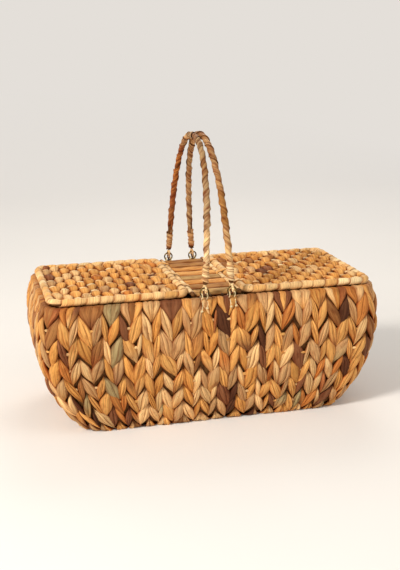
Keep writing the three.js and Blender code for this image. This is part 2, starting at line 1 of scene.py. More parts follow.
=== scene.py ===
"""Looks of a woven picnic basket with two lids and two wrapped handles.

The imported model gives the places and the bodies. Every strip of the weave is a closed solid of
its own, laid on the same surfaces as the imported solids. Lengths are in metres.
"""
import math
import random

import bpy
import numpy as np
from mathutils import Matrix, Vector


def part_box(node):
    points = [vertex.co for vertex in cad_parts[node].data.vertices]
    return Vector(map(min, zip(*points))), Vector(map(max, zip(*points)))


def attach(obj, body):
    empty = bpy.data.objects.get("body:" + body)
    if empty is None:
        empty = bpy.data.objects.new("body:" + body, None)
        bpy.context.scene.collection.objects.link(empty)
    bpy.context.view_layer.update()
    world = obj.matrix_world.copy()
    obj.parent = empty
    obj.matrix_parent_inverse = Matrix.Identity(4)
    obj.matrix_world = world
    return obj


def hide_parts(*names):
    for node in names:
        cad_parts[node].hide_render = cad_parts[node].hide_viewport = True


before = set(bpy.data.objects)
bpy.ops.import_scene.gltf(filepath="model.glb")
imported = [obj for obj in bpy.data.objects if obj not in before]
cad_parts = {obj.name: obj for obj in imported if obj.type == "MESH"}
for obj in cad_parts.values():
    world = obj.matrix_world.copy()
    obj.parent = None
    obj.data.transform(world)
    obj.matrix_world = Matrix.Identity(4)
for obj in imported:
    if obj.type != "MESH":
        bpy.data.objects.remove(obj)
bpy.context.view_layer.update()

MM = 0.001
chance = random.Random(11)

# Body surface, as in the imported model
BODY_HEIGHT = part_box("woven_body")[1][2]
RIM_HALF_LENGTH = 229 * MM
RIM_HALF_WIDTH = 108 * MM
END_SWELL = 9 * MM
SIDE_SWELL = 4 * MM
SWELL_POWER = 0.7
END_TUCK = 46 * MM
SIDE_TUCK = 13 * MM
TUCK_POWER = 3.2
RIM_CORNER = 28 * MM
BASE_CORNER = 34 * MM
WALL = 11 * MM
FLOOR = 9 * MM
RIM_FOLD = WALL / 2
RIM_START = BODY_HEIGHT - RIM_FOLD
BASE_FOLD = 9 * MM
LEAST_CORNER = 3 * MM

# Rows and columns of the body's weave
SIDES = ("front", "right", "back", "left")
COLUMNS = 50
COLUMN_SWAY = 0.13
ROWS = 7
FIRST_ROW = BODY_HEIGHT - 7 * MM
ROW_POWER = 1.2
ROW_UNDER = 0.16
ROWS_LONG = 1.7
LONG_SQUEEZE = 2.2
END_SQUEEZE = 2.0
FLOOR_PITCH = 17 * MM
LID_REST = BODY_HEIGHT + 0.1 * MM

# Lids
LID_LOW, LID_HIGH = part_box("right_lid_frame")
BAR_RADIUS = (LID_HIGH[2] - LID_LOW[2]) / 2
BAR_HEIGHT = (LID_HIGH[2] + LID_LOW[2]) / 2
BAR_CORNER = 12 * MM
BAR_TURNS = 42
LID_INNER = LID_LOW[0] + BAR_RADIUS
LID_OUTER = LID_HIGH[0] - BAR_RADIUS
LID_SIDE = LID_HIGH[1] - BAR_RADIUS
WARP_PITCH = 13 * MM
WEFT_PITCH = 16.5 * MM
UNDER_PITCH = 13.5 * MM
WEAVE_CORNER = 8 * MM
LID_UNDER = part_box("right_lid_wire_1")[1][2] + 0.3 * MM
LEAST_STRAND = LID_UNDER + 0.6 * MM

# Middle panel
ROD_LOW, ROD_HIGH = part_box("panel_rod_right")
ROD_RADIUS = (ROD_HIGH[2] - ROD_LOW[2]) / 2
ROD_OFFSET = (ROD_HIGH[0] + ROD_LOW[0]) / 2
ROD_HEIGHT = (ROD_HIGH[2] + ROD_LOW[2]) / 2
ROD_PITCH = 21 * MM
PANEL_SIDE = ROD_HIGH[1]
SLATS = 8

# Handles
RING_LOW, RING_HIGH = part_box("handle_ring_back_right")
FOOT_OFFSET = (RING_LOW[0] + RING_HIGH[0]) / 2
FOOT_SIDE = (RING_LOW[1] + RING_HIGH[1]) / 2
RING_HEIGHT = (RING_LOW[2] + RING_HIGH[2]) / 2
RING_WIRE = (RING_HIGH[1] - RING_LOW[1]) / 2
RING_RADIUS = (RING_HIGH[0] - RING_LOW[0]) / 2 - RING_WIRE
WIRE_LOW, WIRE_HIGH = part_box("rim_wire")
RIM_WIRE = (WIRE_HIGH[2] - WIRE_LOW[2]) / 2
RIM_WIRE_HEIGHT = WIRE_HIGH[2] - RIM_WIRE
RIM_WIRE_SIDE = RIM_HALF_WIDTH - WALL / 2
TIE_OFFSET = 3.6 * MM
TIE_RADIUS = 0.75 * MM
TIE_GAP = 0.3 * MM
PIVOT_HEIGHT = 184.9 * MM
HANDLE_RISE = 200 * MM
HANDLE_POWER = 2.3
HANDLE_RADIUS = 5 * MM
HANDLE_TURNS = 22
HANDLE_PITCH = 23 * MM
BINDING_LENGTH = 31 * MM
BINDING_PITCH = 6.2 * MM
UNDER_BINDING = 14 * MM
LEAN = math.asin((FOOT_OFFSET - HANDLE_RADIUS - 0.3 * MM) / HANDLE_RISE)
EYE_RADIUS = 6.3 * MM
EYE_WIRE = 1.1 * MM


# Colours

def colour(code):
    """Linear colour of a six-digit screen colour."""
    parts = [int(code[i:i + 2], 16) / 255 for i in (0, 2, 4)]
    return np.array([c / 12.92 if c <= 0.04045 else ((c + 0.055) / 1.055) ** 2.4 for c in parts])


GOLD = colour("e2a75e")
PALE = colour("ecc185")
CREAM = colour("f3d5a0")
HONEY = colour("d99a50")
ORANGE = colour("c98140")
TAN = colour("cda06c")
BROWN = colour("a56f3e")
RUST = colour("a9663a")
DARK = colour("5c3521")
PLUM = colour("8a5738")
OLIVE = colour("ad9668")
SHADE = colour("b07c42")
ASH = colour("b8976c")
REED = colour("cba264")
PALE_SKY = colour("e4dfd9")
# Deep brown for painted shade in folds, edges, dives and tucked parts, also used for the straw's real
# streaks and stains
SHADE_AND_STAIN_BROWN = np.array([0.36, 0.11, 0.02])
RIPE = np.array([0.82, 0.62, 0.42])

BODY_DYES = (
    (30, GOLD), (22, PALE), (12, HONEY), (4, ORANGE), (20, TAN), (6, BROWN), (2.5, RUST), (2.5, DARK),
    (5, PLUM), (2, OLIVE),
)
LID_DYES = ((46, GOLD), (14, PALE), (26, HONEY), (8, ORANGE), (3, TAN), (5, BROWN), (3, PLUM))
CROSS_DYES = ((40, PALE), (20, CREAM), (40, GOLD))
BAR_DYES = ((12, CREAM), (54, PALE), (34, GOLD))
FOOT_DYES = ((40, PALE), (30, ASH), (30, TAN))
FRONT_FOOT_DYES = ((50, PALE), (35, CREAM), (15, TAN))
TWINE_DYES = ((50, CREAM), (50, PALE))
BINDING_DYES = ((4, PALE), (4, GOLD), (2, TAN))
CROWN_DYES = ((1, PALE), (1, TAN))
ROD_DYES = ((60, PALE), (30, CREAM), (10, GOLD))
RED_DYES = ((50, RUST), (26, BROWN), (16, ORANGE), (8, TAN))
GREY_DYES = ((44, ASH), (20, SHADE), (20, TAN), (16, PLUM))
GOLD_DYES = ((26, TAN), (24, ORANGE), (26, SHADE), (24, BROWN))
SLAT_DYES = ((16, GOLD), (22, HONEY), (36, SHADE), (26, REED))


def varied(dye):
    """The dye, a little lighter or darker."""
    return dye * chance.uniform(0.86, 1.12)


def pick(dyes):
    """One of the dyes at random, a little lighter or darker than written."""
    return varied(chance.choices([dye for _, dye in dyes], [share for share, _ in dyes])[0])


def deepen(dye, amount, towards=SHADE_AND_STAIN_BROWN):
    """The dye taken towards the deep brown of painted shade, or to another tone, by an amount from 0 to
    1.
    """
    return dye * (1 - amount * (1 - towards))


def wobble(size):
    """A small random step either way, its size in millimetres."""
    return chance.uniform(-size, size) * MM


# Numbers and arrays

def smooth(value, start=0.0, end=1.0):
    """Eases from 0 to 1 as the value goes from start to end."""
    share = np.clip((value - start) / (end - start), 0, 1)
    return share * share * (3 - 2 * share)


def together(*parts):
    """The parts side by side along a new last axis, each repeated to the shape that they share."""
    return np.stack(np.broadcast_arrays(*parts), axis=-1)


def full_turn(steps):
    """Angles in even steps all round."""
    return np.linspace(0, 2 * math.pi, steps, endpoint=False)


# Strips gathered into meshes

REPLACED = set()


def new_object(name, data):
    """A new object in the scene."""
    thing = bpy.data.objects.new(name, data)
    bpy.context.scene.collection.objects.link(thing)
    return thing


def new_mesh(name, points, faces, material):
    """A smoothly shaded mesh with its material."""
    mesh = bpy.data.meshes.new(name)
    mesh.from_pydata(points, [], faces)
    mesh.polygons.foreach_set("use_smooth", np.ones(len(mesh.polygons), dtype=bool))
    mesh.materials.append(material)
    return mesh


def signed_volume(grid):
    """Volume of the sides of a strip, negative when its rings run the wrong way round."""
    local = grid - grid.reshape(-1, 3).mean(axis=0)
    here = local[:-1]
    beside = np.roll(local, -1, axis=1)[:-1]
    ahead = local[1:]
    across = np.roll(local, -1, axis=1)[1:]
    halves = np.cross(beside, across) + np.cross(across, ahead)
    return float(np.sum(here * halves))


class Pile:
    """Closed strips gathered into one mesh, each with its own dye, painted shade included, and its own
    lie of the grain.
    """

    def __init__(self):
        self.points = []
        self.dyes = []
        self.grain = []
        self.faces = []
        self.count = 0

    def add(self, grid, dyes, grain, loops=False):
        """Adds a strip: a ring of points for each station along it, with dye, painted shade included,
        and grain to match.
        """
        stations, ring = grid.shape[:2]
        index = self.count + np.arange(stations * ring).reshape(stations, ring)
        if loops:
            index = np.concatenate([index, index[:1]])
        turned = np.roll(index, -1, axis=1)
        quads = np.stack([index[:-1], turned[:-1], turned[1:], index[1:]], axis=-1).reshape(-1, 4)
        caps = [] if loops else [index[0][::-1], index[-1]]
        if signed_volume(grid) < 0:
            quads = quads[:, ::-1]
            caps = [cap[::-1] for cap in caps]
        self.faces.extend(quads.tolist())
        self.faces.extend(cap.tolist() for cap in caps)
        self.points.append(grid.reshape(-1, 3))
        self.dyes.append(np.broadcast_to(dyes, grid.shape).reshape(-1, 3))
        shift = np.array([chance.uniform(0, 5), chance.uniform(0, 5)])
        self.grain.append((grain + shift).reshape(-1, 2))
        self.count += stations * ring

    def build(self, name, body, material, slot, *nodes):
        """Makes the object, lets it ride on its body and names the nodes that it stands for."""
        mesh = new_mesh(name, np.concatenate(self.points).tolist(), self.faces, MATERIALS[material])
        tints = np.concatenate(self.dyes)
        solid = np.concatenate([tints, np.ones((len(tints), 1))], axis=1)
        # Each point's colour: the strip's tone with its painted shade
        layer = mesh.color_attributes.new("ToneAndPaintedShade", "FLOAT_COLOR", "POINT")
        layer.data.foreach_set("color", solid.ravel())
        corner = np.empty(len(mesh.loops), dtype=np.int32)
        mesh.loops.foreach_get("vertex_index", corner)
        flat = mesh.uv_layers.new(name="Grain")
        flat.data.foreach_set("uv", np.concatenate(self.grain)[corner].ravel())
        piece = new_object(name, mesh)
        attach(piece, body)
        if nodes:
            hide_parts(*nodes)
            REPLACED.update(nodes)


# Body surface

def body_size(z):
    """Half length, half width and corner radius of the body at a height."""
    depth = np.clip(1 - z / BODY_HEIGHT, 0, 1)
    swell = np.sin(math.pi * depth ** SWELL_POWER)
    tuck = depth ** TUCK_POWER
    half_length = RIM_HALF_LENGTH + END_SWELL * swell - END_TUCK * tuck
    half_width = RIM_HALF_WIDTH + SIDE_SWELL * swell - SIDE_TUCK * tuck
    return half_length, half_width, RIM_CORNER + (BASE_CORNER - RIM_CORNER) * depth


def quarter_lengths(half_length, half_width, corner):
    """Lengths from the middle of a side, and of an end, to the middle of the corner."""
    arc = corner * math.pi / 4
    return half_length - corner + arc, half_width - corner + arc


def row_height(row):
    """The height where a row of leaves comes out from under the one above."""
    share = 1 - row / ROWS
    if share < 0:
        return -ROW_UNDER * (row - ROWS) * BODY_HEIGHT
    return FIRST_ROW * share ** ROW_POWER


RIM_LONG, RIM_END = quarter_lengths(*body_size(BODY_HEIGHT))
RIM_QUARTER = RIM_LONG + RIM_END
RIM_ROUND = 4 * RIM_QUARTER
WALL_ENDS = (RIM_LONG, RIM_LONG + 2 * RIM_END, 3 * RIM_LONG + 2 * RIM_END)

# Directions along the front, right, back and left wall and out from each, x first and then y
ALONG_WALLS = np.array([(1, 0, -1, 0), (0, 1, 0, -1)])
OUT_OF_WALLS = np.array([(0, 1, 0, -1), (-1, 0, 1, 0)])


def profile(h):
    """Height, inset and lean of the wall at h. It turns inwards past the rim and under at the foot."""
    over = np.clip((h - RIM_START) / RIM_FOLD, 0, math.pi)
    under = np.clip((BASE_FOLD - h) / BASE_FOLD, 0, math.pi / 2)
    past_rim = np.maximum(h - RIM_START - math.pi * RIM_FOLD, 0)
    past_base = np.maximum(BASE_FOLD - h - BASE_FOLD * math.pi / 2, 0)
    upright = np.clip(h, BASE_FOLD, RIM_START)
    z = upright + RIM_FOLD * np.sin(over) - BASE_FOLD * np.sin(under) - past_rim
    inset = RIM_FOLD * (1 - np.cos(over)) + BASE_FOLD * (1 - np.cos(under)) + past_base
    return z, inset, over - under


def inner_path(z):
    """The place on the wall's path that lies inside at a height."""
    return RIM_START + math.pi * RIM_FOLD + (RIM_START - z)


def place_on_rim(u):
    """The distance round the rim from the middle of the front, and the number of the wall there."""
    place = (u + RIM_LONG) % RIM_ROUND - RIM_LONG
    return place, np.searchsorted(WALL_ENDS, place)


def wall(u, h, lift):
    """Points at u round the rim and h up the wall, lifted off the surface."""
    u, h, lift = np.broadcast_arrays(u, h, lift)
    z, inset, lean = profile(h)
    half_length, half_width, corner = body_size(z)
    upper_length, upper_width, _ = body_size(z + MM)
    slope_end = (upper_length - half_length) / MM
    slope_side = (upper_width - half_width) / MM
    half_length = half_length - inset
    half_width = half_width - inset
    corner = np.maximum(corner - inset, LEAST_CORNER)
    long, end = quarter_lengths(half_length, half_width, corner)
    place, number = place_on_rim(u)
    on_long = number % 2 == 0
    along = place - number * RIM_QUARTER
    reach = np.where(on_long, RIM_LONG, RIM_END)
    power = np.where(on_long, LONG_SQUEEZE, END_SQUEEZE)
    short = reach - np.where(on_long, long, end)
    distance = np.abs(along) - short * (np.abs(along) / reach) ** power
    straight = np.where(on_long, half_length, half_width) - corner
    turn = np.maximum(distance - straight, 0) / corner
    level = np.where(turn > 0, straight + corner * np.sin(turn), distance) * np.sign(along)
    height = np.where(on_long, half_width, half_length) - corner * (1 - np.cos(turn))
    beside, outward = ALONG_WALLS[:, number], OUT_OF_WALLS[:, number]
    normal = np.sin(turn) * np.sign(along) * beside + np.cos(turn) * outward
    slope = normal[0] ** 2 * slope_end + normal[1] ** 2 * slope_side
    out = np.cos(lean)
    up = np.sin(lean) - slope * out
    size = np.hypot(out, up)
    x, y = level * beside + height * outward + normal * lift * out / size
    return together(x, y, z + lift * up / size)


# Leaves of the body's weave

FACE = np.array([-1, -0.82, -0.5, -0.17, 0.17, 0.5, 0.82, 1])
BACK = np.array([0.7, 0, -0.7])
RING = np.concatenate([FACE, BACK])
ROUND = 1 - RING ** 2
ARCH = np.sqrt(np.maximum(ROUND, 0))
AT_EDGE = np.abs(RING) == 1
IS_BACK = np.concatenate([np.zeros(len(FACE)), np.ones(len(BACK))])
# Painted shade: nearly full on the hidden backs of strips, and on the faces growing towards their edges,
# where neighbours overlap
BACK_PAINTED_SHADE = 0.95 * IS_BACK
EDGE_PAINTED_SHADE = np.maximum(np.abs(RING) ** 4, BACK_PAINTED_SHADE)[:, None]
LEAF_STATIONS = 12
LEAF_THICK = 1.3 * MM
LEAF_ARCH = 0.9
LEAF_CROWNS = (2.2, 3.8)
LEAF_WIDTHS = (1.1, 1.4)
LEAF_RISE = 0.9 * MM
LEAF_LEAST = 0.15 * MM
FOLD_ODDS = (0.36, 0.44, 0.2)
INNER_CROWN = 1.8 * MM
TWINE_SHARE = 0.35
FAN_STATIONS = 20
FAN_INSIDE = 22 * MM
CORE_STEPS = 144


def leaf_tones_and_painted_shade(along, top, tip, place):
    """A colour that runs from one tone at the top to another at the tip, with painted shade at its edges
    and folds.
    """
    blend = smooth(along, 0.25, 1.0)[:, None]
    # Painted shade: at the top tucked under the row above, at the drawn-in tip, towards the edges and
    # folds, and on the back
    ends = np.maximum(0.9 * (1 - smooth(along, 0.02, 0.15)), 0.5 * smooth(along, 0.93, 1.0))
    edges = np.maximum(np.abs(np.clip(place, -1, 1)) ** 5, 0.45 * np.abs(RING) ** 6)
    edges = np.maximum(edges, BACK_PAINTED_SHADE)[:, None]
    return deepen(top * (1 - blend) + tip * blend, np.maximum(ends[:, None], edges))


def leaf_colours(dyes):
    """The top colour of a leaf and its often riper tip."""
    top = pick(dyes)
    tip = top if chance.random() < 0.8 else pick(dyes)
    return top, deepen(tip, chance.uniform(0.1, 1.0), RIPE)


def lens(along, full):
    """How far a leaf's edge has gone across at each place along it."""
    return np.sin(np.minimum(along / full, 1) * math.pi / 2)


def leaf_part(pile, ends, depth, dyes, crown, shape, part, least, rise):
    """A leaf, or the share of its width between two folds, as one closed strip."""
    along = (1 - np.cos(np.linspace(0, math.pi, LEAF_STATIONS)))[:, None] / 2
    u_top, u_tip, h_top, h_tip = ends
    full, wide, tilt = shape
    near = 1 - lens(1 - along, full)
    far = lens(along, full)
    half = np.maximum((far - near) / 2, 0.05) * wide
    first, last = part
    share = (last - first) / 2
    place = (first + last) / 2 + share * RING
    across = u_top + (u_tip - u_top) * ((near + far) / 2 + half * place)
    h = h_top + (h_tip - h_top) * along
    whole = LEAF_ARCH * (1 - np.clip(np.abs(place), 0, 1) ** 2) * (1 - share)
    own = (0.4 * ARCH + 0.6 * ROUND) * share ** 0.7
    face = crown * (half / half.max()) * (whole + own) + tilt * place - 0.5 * LEAF_THICK * AT_EDGE
    raised = depth(along) + rise * smooth(along, 0.3, 0.9)
    grid = wall(across, h, raised + np.where(IS_BACK, -LEAF_THICK, face))
    grid[..., 2] = np.maximum(grid[..., 2], least)
    grain = together(half * place * abs(u_tip - u_top), along * abs(h_tip - h_top))
    pile.add(grid, leaf_tones_and_painted_shade(along, *dyes, place), grain)


def wall_leaf(pile, u_top, u_tip, h_top, h_tip, depth, dyes, crown, wide, least=0.0, rise=0.0):
    """One leaf of the weave, from its apex to its tip. Some are folded lengthwise into two or three."""
    shape = (chance.uniform(0.5, 0.8), wide, wobble(1.1))
    folds = chance.choices((0, 1, 2), FOLD_ODDS)[0]
    cuts = [-1] + sorted(chance.uniform(-0.5, 0.5) for _ in range(folds)) + [1]
    if folds == 2:
        cuts[1:3] = [chance.uniform(-0.5, -0.2), chance.uniform(0.2, 0.5)]
    for first, last in zip(cuts, cuts[1:]):
        light = chance.uniform(0.84, 1.1)
        short = chance.uniform(0, 0.05) * (h_tip - h_top)
        leaf_part(
            pile, (u_top, u_tip, h_top + short, h_tip - short), depth, [dye * light for dye in dyes],
            crown, shape, (first - 0.04, last + 0.04), least, rise,
        )


def outer_depth(along):
    """Lift of a leaf off the wall: tucked in at the top, proud in the middle and drawn in at the tip."""
    return (-2.2 + 2.9 * smooth(along, 0.0, 0.26) - 1.5 * smooth(along, 0.72, 1.0)) * MM


def inner_depth(along):
    """The same for the inside of the wall, which stays behind the wire ribs."""
    return (-4.2 + 1.9 * smooth(along, 0.0, 0.42) - 1.2 * smooth(along, 0.8, 1.0)) * MM


PITCH = RIM_ROUND / COLUMNS
LINES = np.array([i * PITCH + chance.uniform(-COLUMN_SWAY, COLUMN_SWAY) * PITCH for i in range(COLUMNS)])
WIDTHS = np.diff(np.append(LINES, LINES[0] + RIM_ROUND))
CENTRES = LINES + WIDTHS / 2


def face_of(u):
    """The name of the wall at a place round the rim."""
    return SIDES[place_on_rim(u)[1]]


def weave_wall(piles):
    """The rows of leaves on the outside, two for each column, laid like knitted stitches."""
    for row in range(ROWS):
        line_shift = [wobble(2.2) for _ in range(COLUMNS)]
        line_height = [row_height(row) + wobble(4) for _ in range(COLUMNS)]
        for i in range(COLUMNS):
            j = (i + 1) % COLUMNS
            tip = CENTRES[i] + wobble(3)
            h_tip = row_height(row + ROWS_LONG) + wobble(4.5)
            starts = (
                (LINES[i] + line_shift[i], line_height[i], 1),
                (LINES[i] + WIDTHS[i] + line_shift[j], line_height[j], -1),
            )
            upper = chance.choice((1, -1))
            past = chance.uniform(0.3, 2.6) * MM
            for start, h_top, heads in starts:
                on_top = heads == upper
                wall_leaf(
                    piles[face_of(CENTRES[i])], start, tip + past * upper, h_top,
                    h_tip - (past if on_top else 0), outer_depth, leaf_colours(BODY_DYES),
                    crown=chance.uniform(*LEAF_CROWNS) * MM, wide=chance.uniform(*LEAF_WIDTHS),
                    least=LEAF_LEAST, rise=LEAF_RISE if on_top else 0,
                )


def twine_bit(pile, u, h, width, thick, lift, dye):
    """A short level bit of the binding strand, where it shows under the tip of a leaf."""
    along = np.linspace(-1, 1, 7)[:, None]
    turn = full_turn(8)
    swell = np.sqrt(np.maximum(1 - along ** 4, 0.05))
    grid = wall(
        u + along * width / 2,
        h + swell * thick / 2 * np.sin(turn),
        lift + swell * thick * 0.35 * np.cos(turn),
    )
    # The bit's ends, where it goes under the leaves, are darkened as painted shade
    pile.add(grid, deepen(dye, 0.6 * (1 - swell)[..., None]), together(thick * turn / 6, along * width))


def twine_bits(piles):
    """Pale binding bits under about a third of the tips."""
    for row in range(ROWS - 1):
        h = row_height(row + ROWS_LONG - 1)
        for centre in CENTRES:
            if chance.random() > TWINE_SHARE:
                continue
            dye = pick(BINDING_DYES)
            width = chance.uniform(9, 14) * MM
            thick = chance.uniform(3.2, 4.8) * MM
            lift = chance.uniform(0.3, 1.6) * MM
            place = centre + wobble(2.5)
            twine_bit(piles[face_of(centre)], place, h - 2.5 * MM + wobble(2), width, thick, lift, dye)


def fan_strip(pile, centre, offset, width, h_tip, dyes):
    """A strip that comes from inside, folds over the rim and runs down to the tip of its fan."""
    h_start = inner_path(BODY_HEIGHT - FAN_INSIDE)
    along = np.linspace(0, 1, FAN_STATIONS)[:, None]
    h = h_start + (h_tip - h_start) * along
    down = smooth(h, BODY_HEIGHT - 2 * MM, h_tip)
    narrow = 1 - 0.72 * down ** 1.2
    u = centre + offset * (1 - 0.8 * down ** 1.1) + width / 2 * narrow * RING
    crown = 2.2 * MM * ROUND - 0.5 * MM * AT_EDGE
    shoulder = np.sin(2 * np.clip(profile(h)[2], 0, math.pi / 2))
    depth = (-1.6 + 1.4 * smooth(down, 0.1, 0.5) - 1.8 * smooth(down, 0.85, 1.0) + 2.2 * shoulder) * MM
    grid = wall(u, h, depth + np.where(IS_BACK, -1.2 * MM, crown))
    grid[..., 2] = np.minimum(grid[..., 2], LID_REST)
    top, tip = dyes
    blend = down[..., None]
    # Painted shade under the lid's bar, at the tip and towards the edges of the strip
    painted_shade_under_lid = 0.35 * (1 - smooth(RIM_START - h, -4 * MM, 1 * MM))
    ends = np.maximum(0.4 * smooth(along, 0.93, 1.0), painted_shade_under_lid)[..., None]
    tint = deepen(top * (1 - blend) + tip * blend, np.maximum(ends, EDGE_PAINTED_SHADE))
    pile.add(grid, tint, together(width / 2 * RING, h))


def rim_fans(piles):
    """Fans of two or three strips over the rim, one to each column."""
    for centre, column in zip(CENTRES, WIDTHS):
        strips = chance.choice((2, 3, 3))
        h_tip = row_height(ROWS_LONG - 1) + wobble(2.5)
        shared = leaf_colours(BODY_DYES)
        for k in range(strips):
            share = (k + 0.5) / strips - 0.5
            width = column / strips * chance.uniform(1.12, 1.32)
            dyes = shared if chance.random() < 0.5 else leaf_colours(BODY_DYES)
            pile = piles[face_of(centre)]
            fan_strip(pile, centre + wobble(1), share * column, width, h_tip + wobble(1.5), dyes)


def weave_inside(piles):
    """The rows of leaves on the inside of the wall."""
    for row in range(ROWS - 1):
        bottom = max(row_height(row + ROWS_LONG), FLOOR + 1 * MM)
        for i in range(COLUMNS):
            tip = CENTRES[i] + wobble(1.6)
            for start in (LINES[i], LINES[i] + WIDTHS[i]):
                wall_leaf(
                    piles[face_of(CENTRES[i])], start + wobble(1), tip,
                    inner_path(row_height(row) + wobble(2)), inner_path(bottom + wobble(1)), inner_depth,
                    leaf_colours(BODY_DYES), crown=INNER_CROWN, wide=chance.uniform(1.1, 1.3),
                )


def core_shell(pile):
    """The middle of the wall and of the floor, one closed solid behind all the leaves, dark brown as
    painted shade where it shows between them.
    """
    u = np.linspace(0, RIM_ROUND, CORE_STEPS, endpoint=False)
    outside = [(h * MM, -3.2 * MM) for h in (-40, -20, -8, -2, 4, 9, 20, 40, 70, 100, 130, 155, 170)]
    over = [(BODY_HEIGHT - 2 * MM, -3 * MM), (BODY_HEIGHT + 5 * MM, -2.6 * MM)]
    inside = [(inner_path(z * MM), -3.9 * MM) for z in (170, 150, 120, 90, 60, 40, 25, 15, 8)]
    grid = np.stack([wall(u, h, lift) for h, lift in outside + over + inside])
    grid[0, :, 2] = 2.6 * MM
    floor = grid[-1].copy()
    floor[:, 2] = FLOOR - 3.4 * MM
    grid = np.concatenate([grid, floor[None]])
    # Dark brown, as painted shade in the gaps between the leaves
    pile.add(grid, BROWN * 0.5, together(u, np.arange(len(grid))[:, None] * 10 * MM))


# Plain weave

STRAND_STEP = 1.8 * MM
BUMPS = 80


def strand(pile, place, start, end, base, swing, period, phase, width, dyes_at, along_x, turned,
           thick=2.2 * MM, pinch=0.28, crown=1.4 * MM, power=1.0, loose=0.3, least=-1.0, shaded=1.0):
    """A strand that passes over and under its neighbours, fuller where it lies on top.

    A power above 1 makes the tops longer and the dives between them shorter. loose is how much its
    bumps differ in place, fullness and tilt, least its lowest height and shaded how much painted shade
    it takes where it dives.
    """
    s = np.linspace(start, end, max(int(abs(end - start) / STRAND_STEP), 4))[:, None]
    marks = np.arange(start - period, end + period, period / 2)

    def uneven(size):
        return np.interp(s, marks, [chance.uniform(-size, size) * loose for _ in marks])
    turn = math.pi * (s - phase + uneven(0.1) * period) / period
    wave = 1 - 2 * np.abs(np.sin(turn)) ** (2 * power)
    half = width / 2 * (1 - pinch + pinch * wave) * (1 + uneven(0.12))
    across = place + uneven(1.3 * MM) + half * RING
    full = crown * ((0.7 + 0.3 * wave) * (1 + uneven(0.25)))
    face = full * (0.5 * ROUND + 0.5 * ARCH) - 0.3 * thick * AT_EDGE
    tilt = uneven(1.2 * MM) * RING
    z = base + swing * wave + np.where(IS_BACK, -thick, face + tilt)
    z = np.maximum(z, least + 0.2 * MM * (1 - IS_BACK))
    x, y = (s, across) if along_x else (across, s)
    sign = -1 if turned else 1
    # Painted shade where the strand dives under its neighbours, towards its edges and on its back
    dives = shaded * (1 - smooth(wave, -0.9, 0.3))
    dives = np.minimum(dives, 1 - 0.8 * IS_BACK)
    edges = np.maximum(np.abs(RING) ** 4 * (1 - IS_BACK), 0.25 * IS_BACK)
    tint = deepen(dyes_at(s), np.maximum(dives, edges)[..., None])
    pile.add(together(sign * x, sign * y, z), tint, together(half * RING, s))


def bump_dyes(dyes, phase, period):
    """A colour for each place where a strand comes to the top, changing where it dives."""
    main = pick(dyes)
    shades = np.array([pick(dyes) if chance.random() < 0.75 else varied(main) for _ in range(BUMPS)])
    return lambda s: shades[np.round((s - phase) / period).astype(int) + BUMPS // 2]


def rectangle_reach(across, half_across, half_along, corner):
    """How far a rounded rectangle reaches along, at a place across it."""
    past = abs(across) - (half_across - corner)
    if past <= 0:
        return half_along
    return half_along - corner + math.sqrt(max(corner ** 2 - min(past, corner) ** 2, 0))


def lid_weave(pile, turned):
    """Strands from front to back with oval bumps, over and under a row of level strands."""
    low_x = LID_INNER + BAR_RADIUS - 0.5 * MM
    high_x = LID_OUTER - BAR_RADIUS + 0.5 * MM
    half_x = (high_x - low_x) / 2
    middle = (high_x + low_x) / 2
    side = LID_SIDE - BAR_RADIUS + 0.5 * MM
    columns = round(2 * half_x / WARP_PITCH)
    pitch = 2 * half_x / columns
    base = BAR_HEIGHT + 0.2 * MM
    for i in range(columns):
        x = low_x + (i + 0.5) * pitch + wobble(0.8)
        reach = rectangle_reach(x - middle, half_x, side, WEAVE_CORNER)
        period = (4 if i == 1 else 2) * WEFT_PITCH
        phase = (i % 2) * WEFT_PITCH + wobble(1.5)
        strand(
            pile, x, -reach, reach, base - 0.7 * MM + wobble(0.3), 2.8 * MM, period, phase,
            pitch * chance.uniform(1.12, 1.26), bump_dyes(LID_DYES, phase, period), False, turned,
            thick=1.6 * MM, pinch=0.46, crown=3.2 * MM, power=1.5, loose=1.0, least=LEAST_STRAND,
        )
    rows = int(side / WEFT_PITCH)
    for k in range(-rows, rows + 1):
        y = k * WEFT_PITCH
        reach = rectangle_reach(y, side, half_x, WEAVE_CORNER)
        phase = low_x + pitch * (0.5 if k % 2 else 1.5)
        strand(
            pile, y, middle - reach, middle + reach, base - 0.5 * MM, 1.4 * MM, 2 * pitch, phase,
            0.44 * WEFT_PITCH, bump_dyes(CROSS_DYES, phase, 2 * pitch), True, turned, least=LEAST_STRAND,
        )
    flat_weave(pile, middle * (-1 if turned else 1), LID_UNDER + 1.1 * MM, half_x, side, WEAVE_CORNER,
               UNDER_PITCH, swing=0.4 * MM, thick=0.7 * MM, crown=0.3 * MM)


def lid_core(pile, turned):
    """The middle of a lid, a thin plate that closes the gaps between the strands, dark brown as painted
    shade in them.
    """
    half_x = (LID_OUTER - LID_INNER) / 2 - 0.5 * BAR_RADIUS
    half_y = LID_SIDE - 0.5 * BAR_RADIUS
    middle = (LID_OUTER + LID_INNER) / 2 * (-1 if turned else 1)
    turn = full_turn(48)
    corner = 9 * MM
    x = middle + np.sign(np.cos(turn)) * (half_x - corner) + corner * np.cos(turn)
    y = np.sign(np.sin(turn)) * (half_y - corner) + corner * np.sin(turn)
    z = np.array([[LID_UNDER + 0.8 * MM], [LID_UNDER + 1.3 * MM]])
    grid = together(x, y, z)
    # Dark brown, as painted shade in the gaps between the strands
    pile.add(grid, deepen(BROWN, 0.75), grid[..., :2])


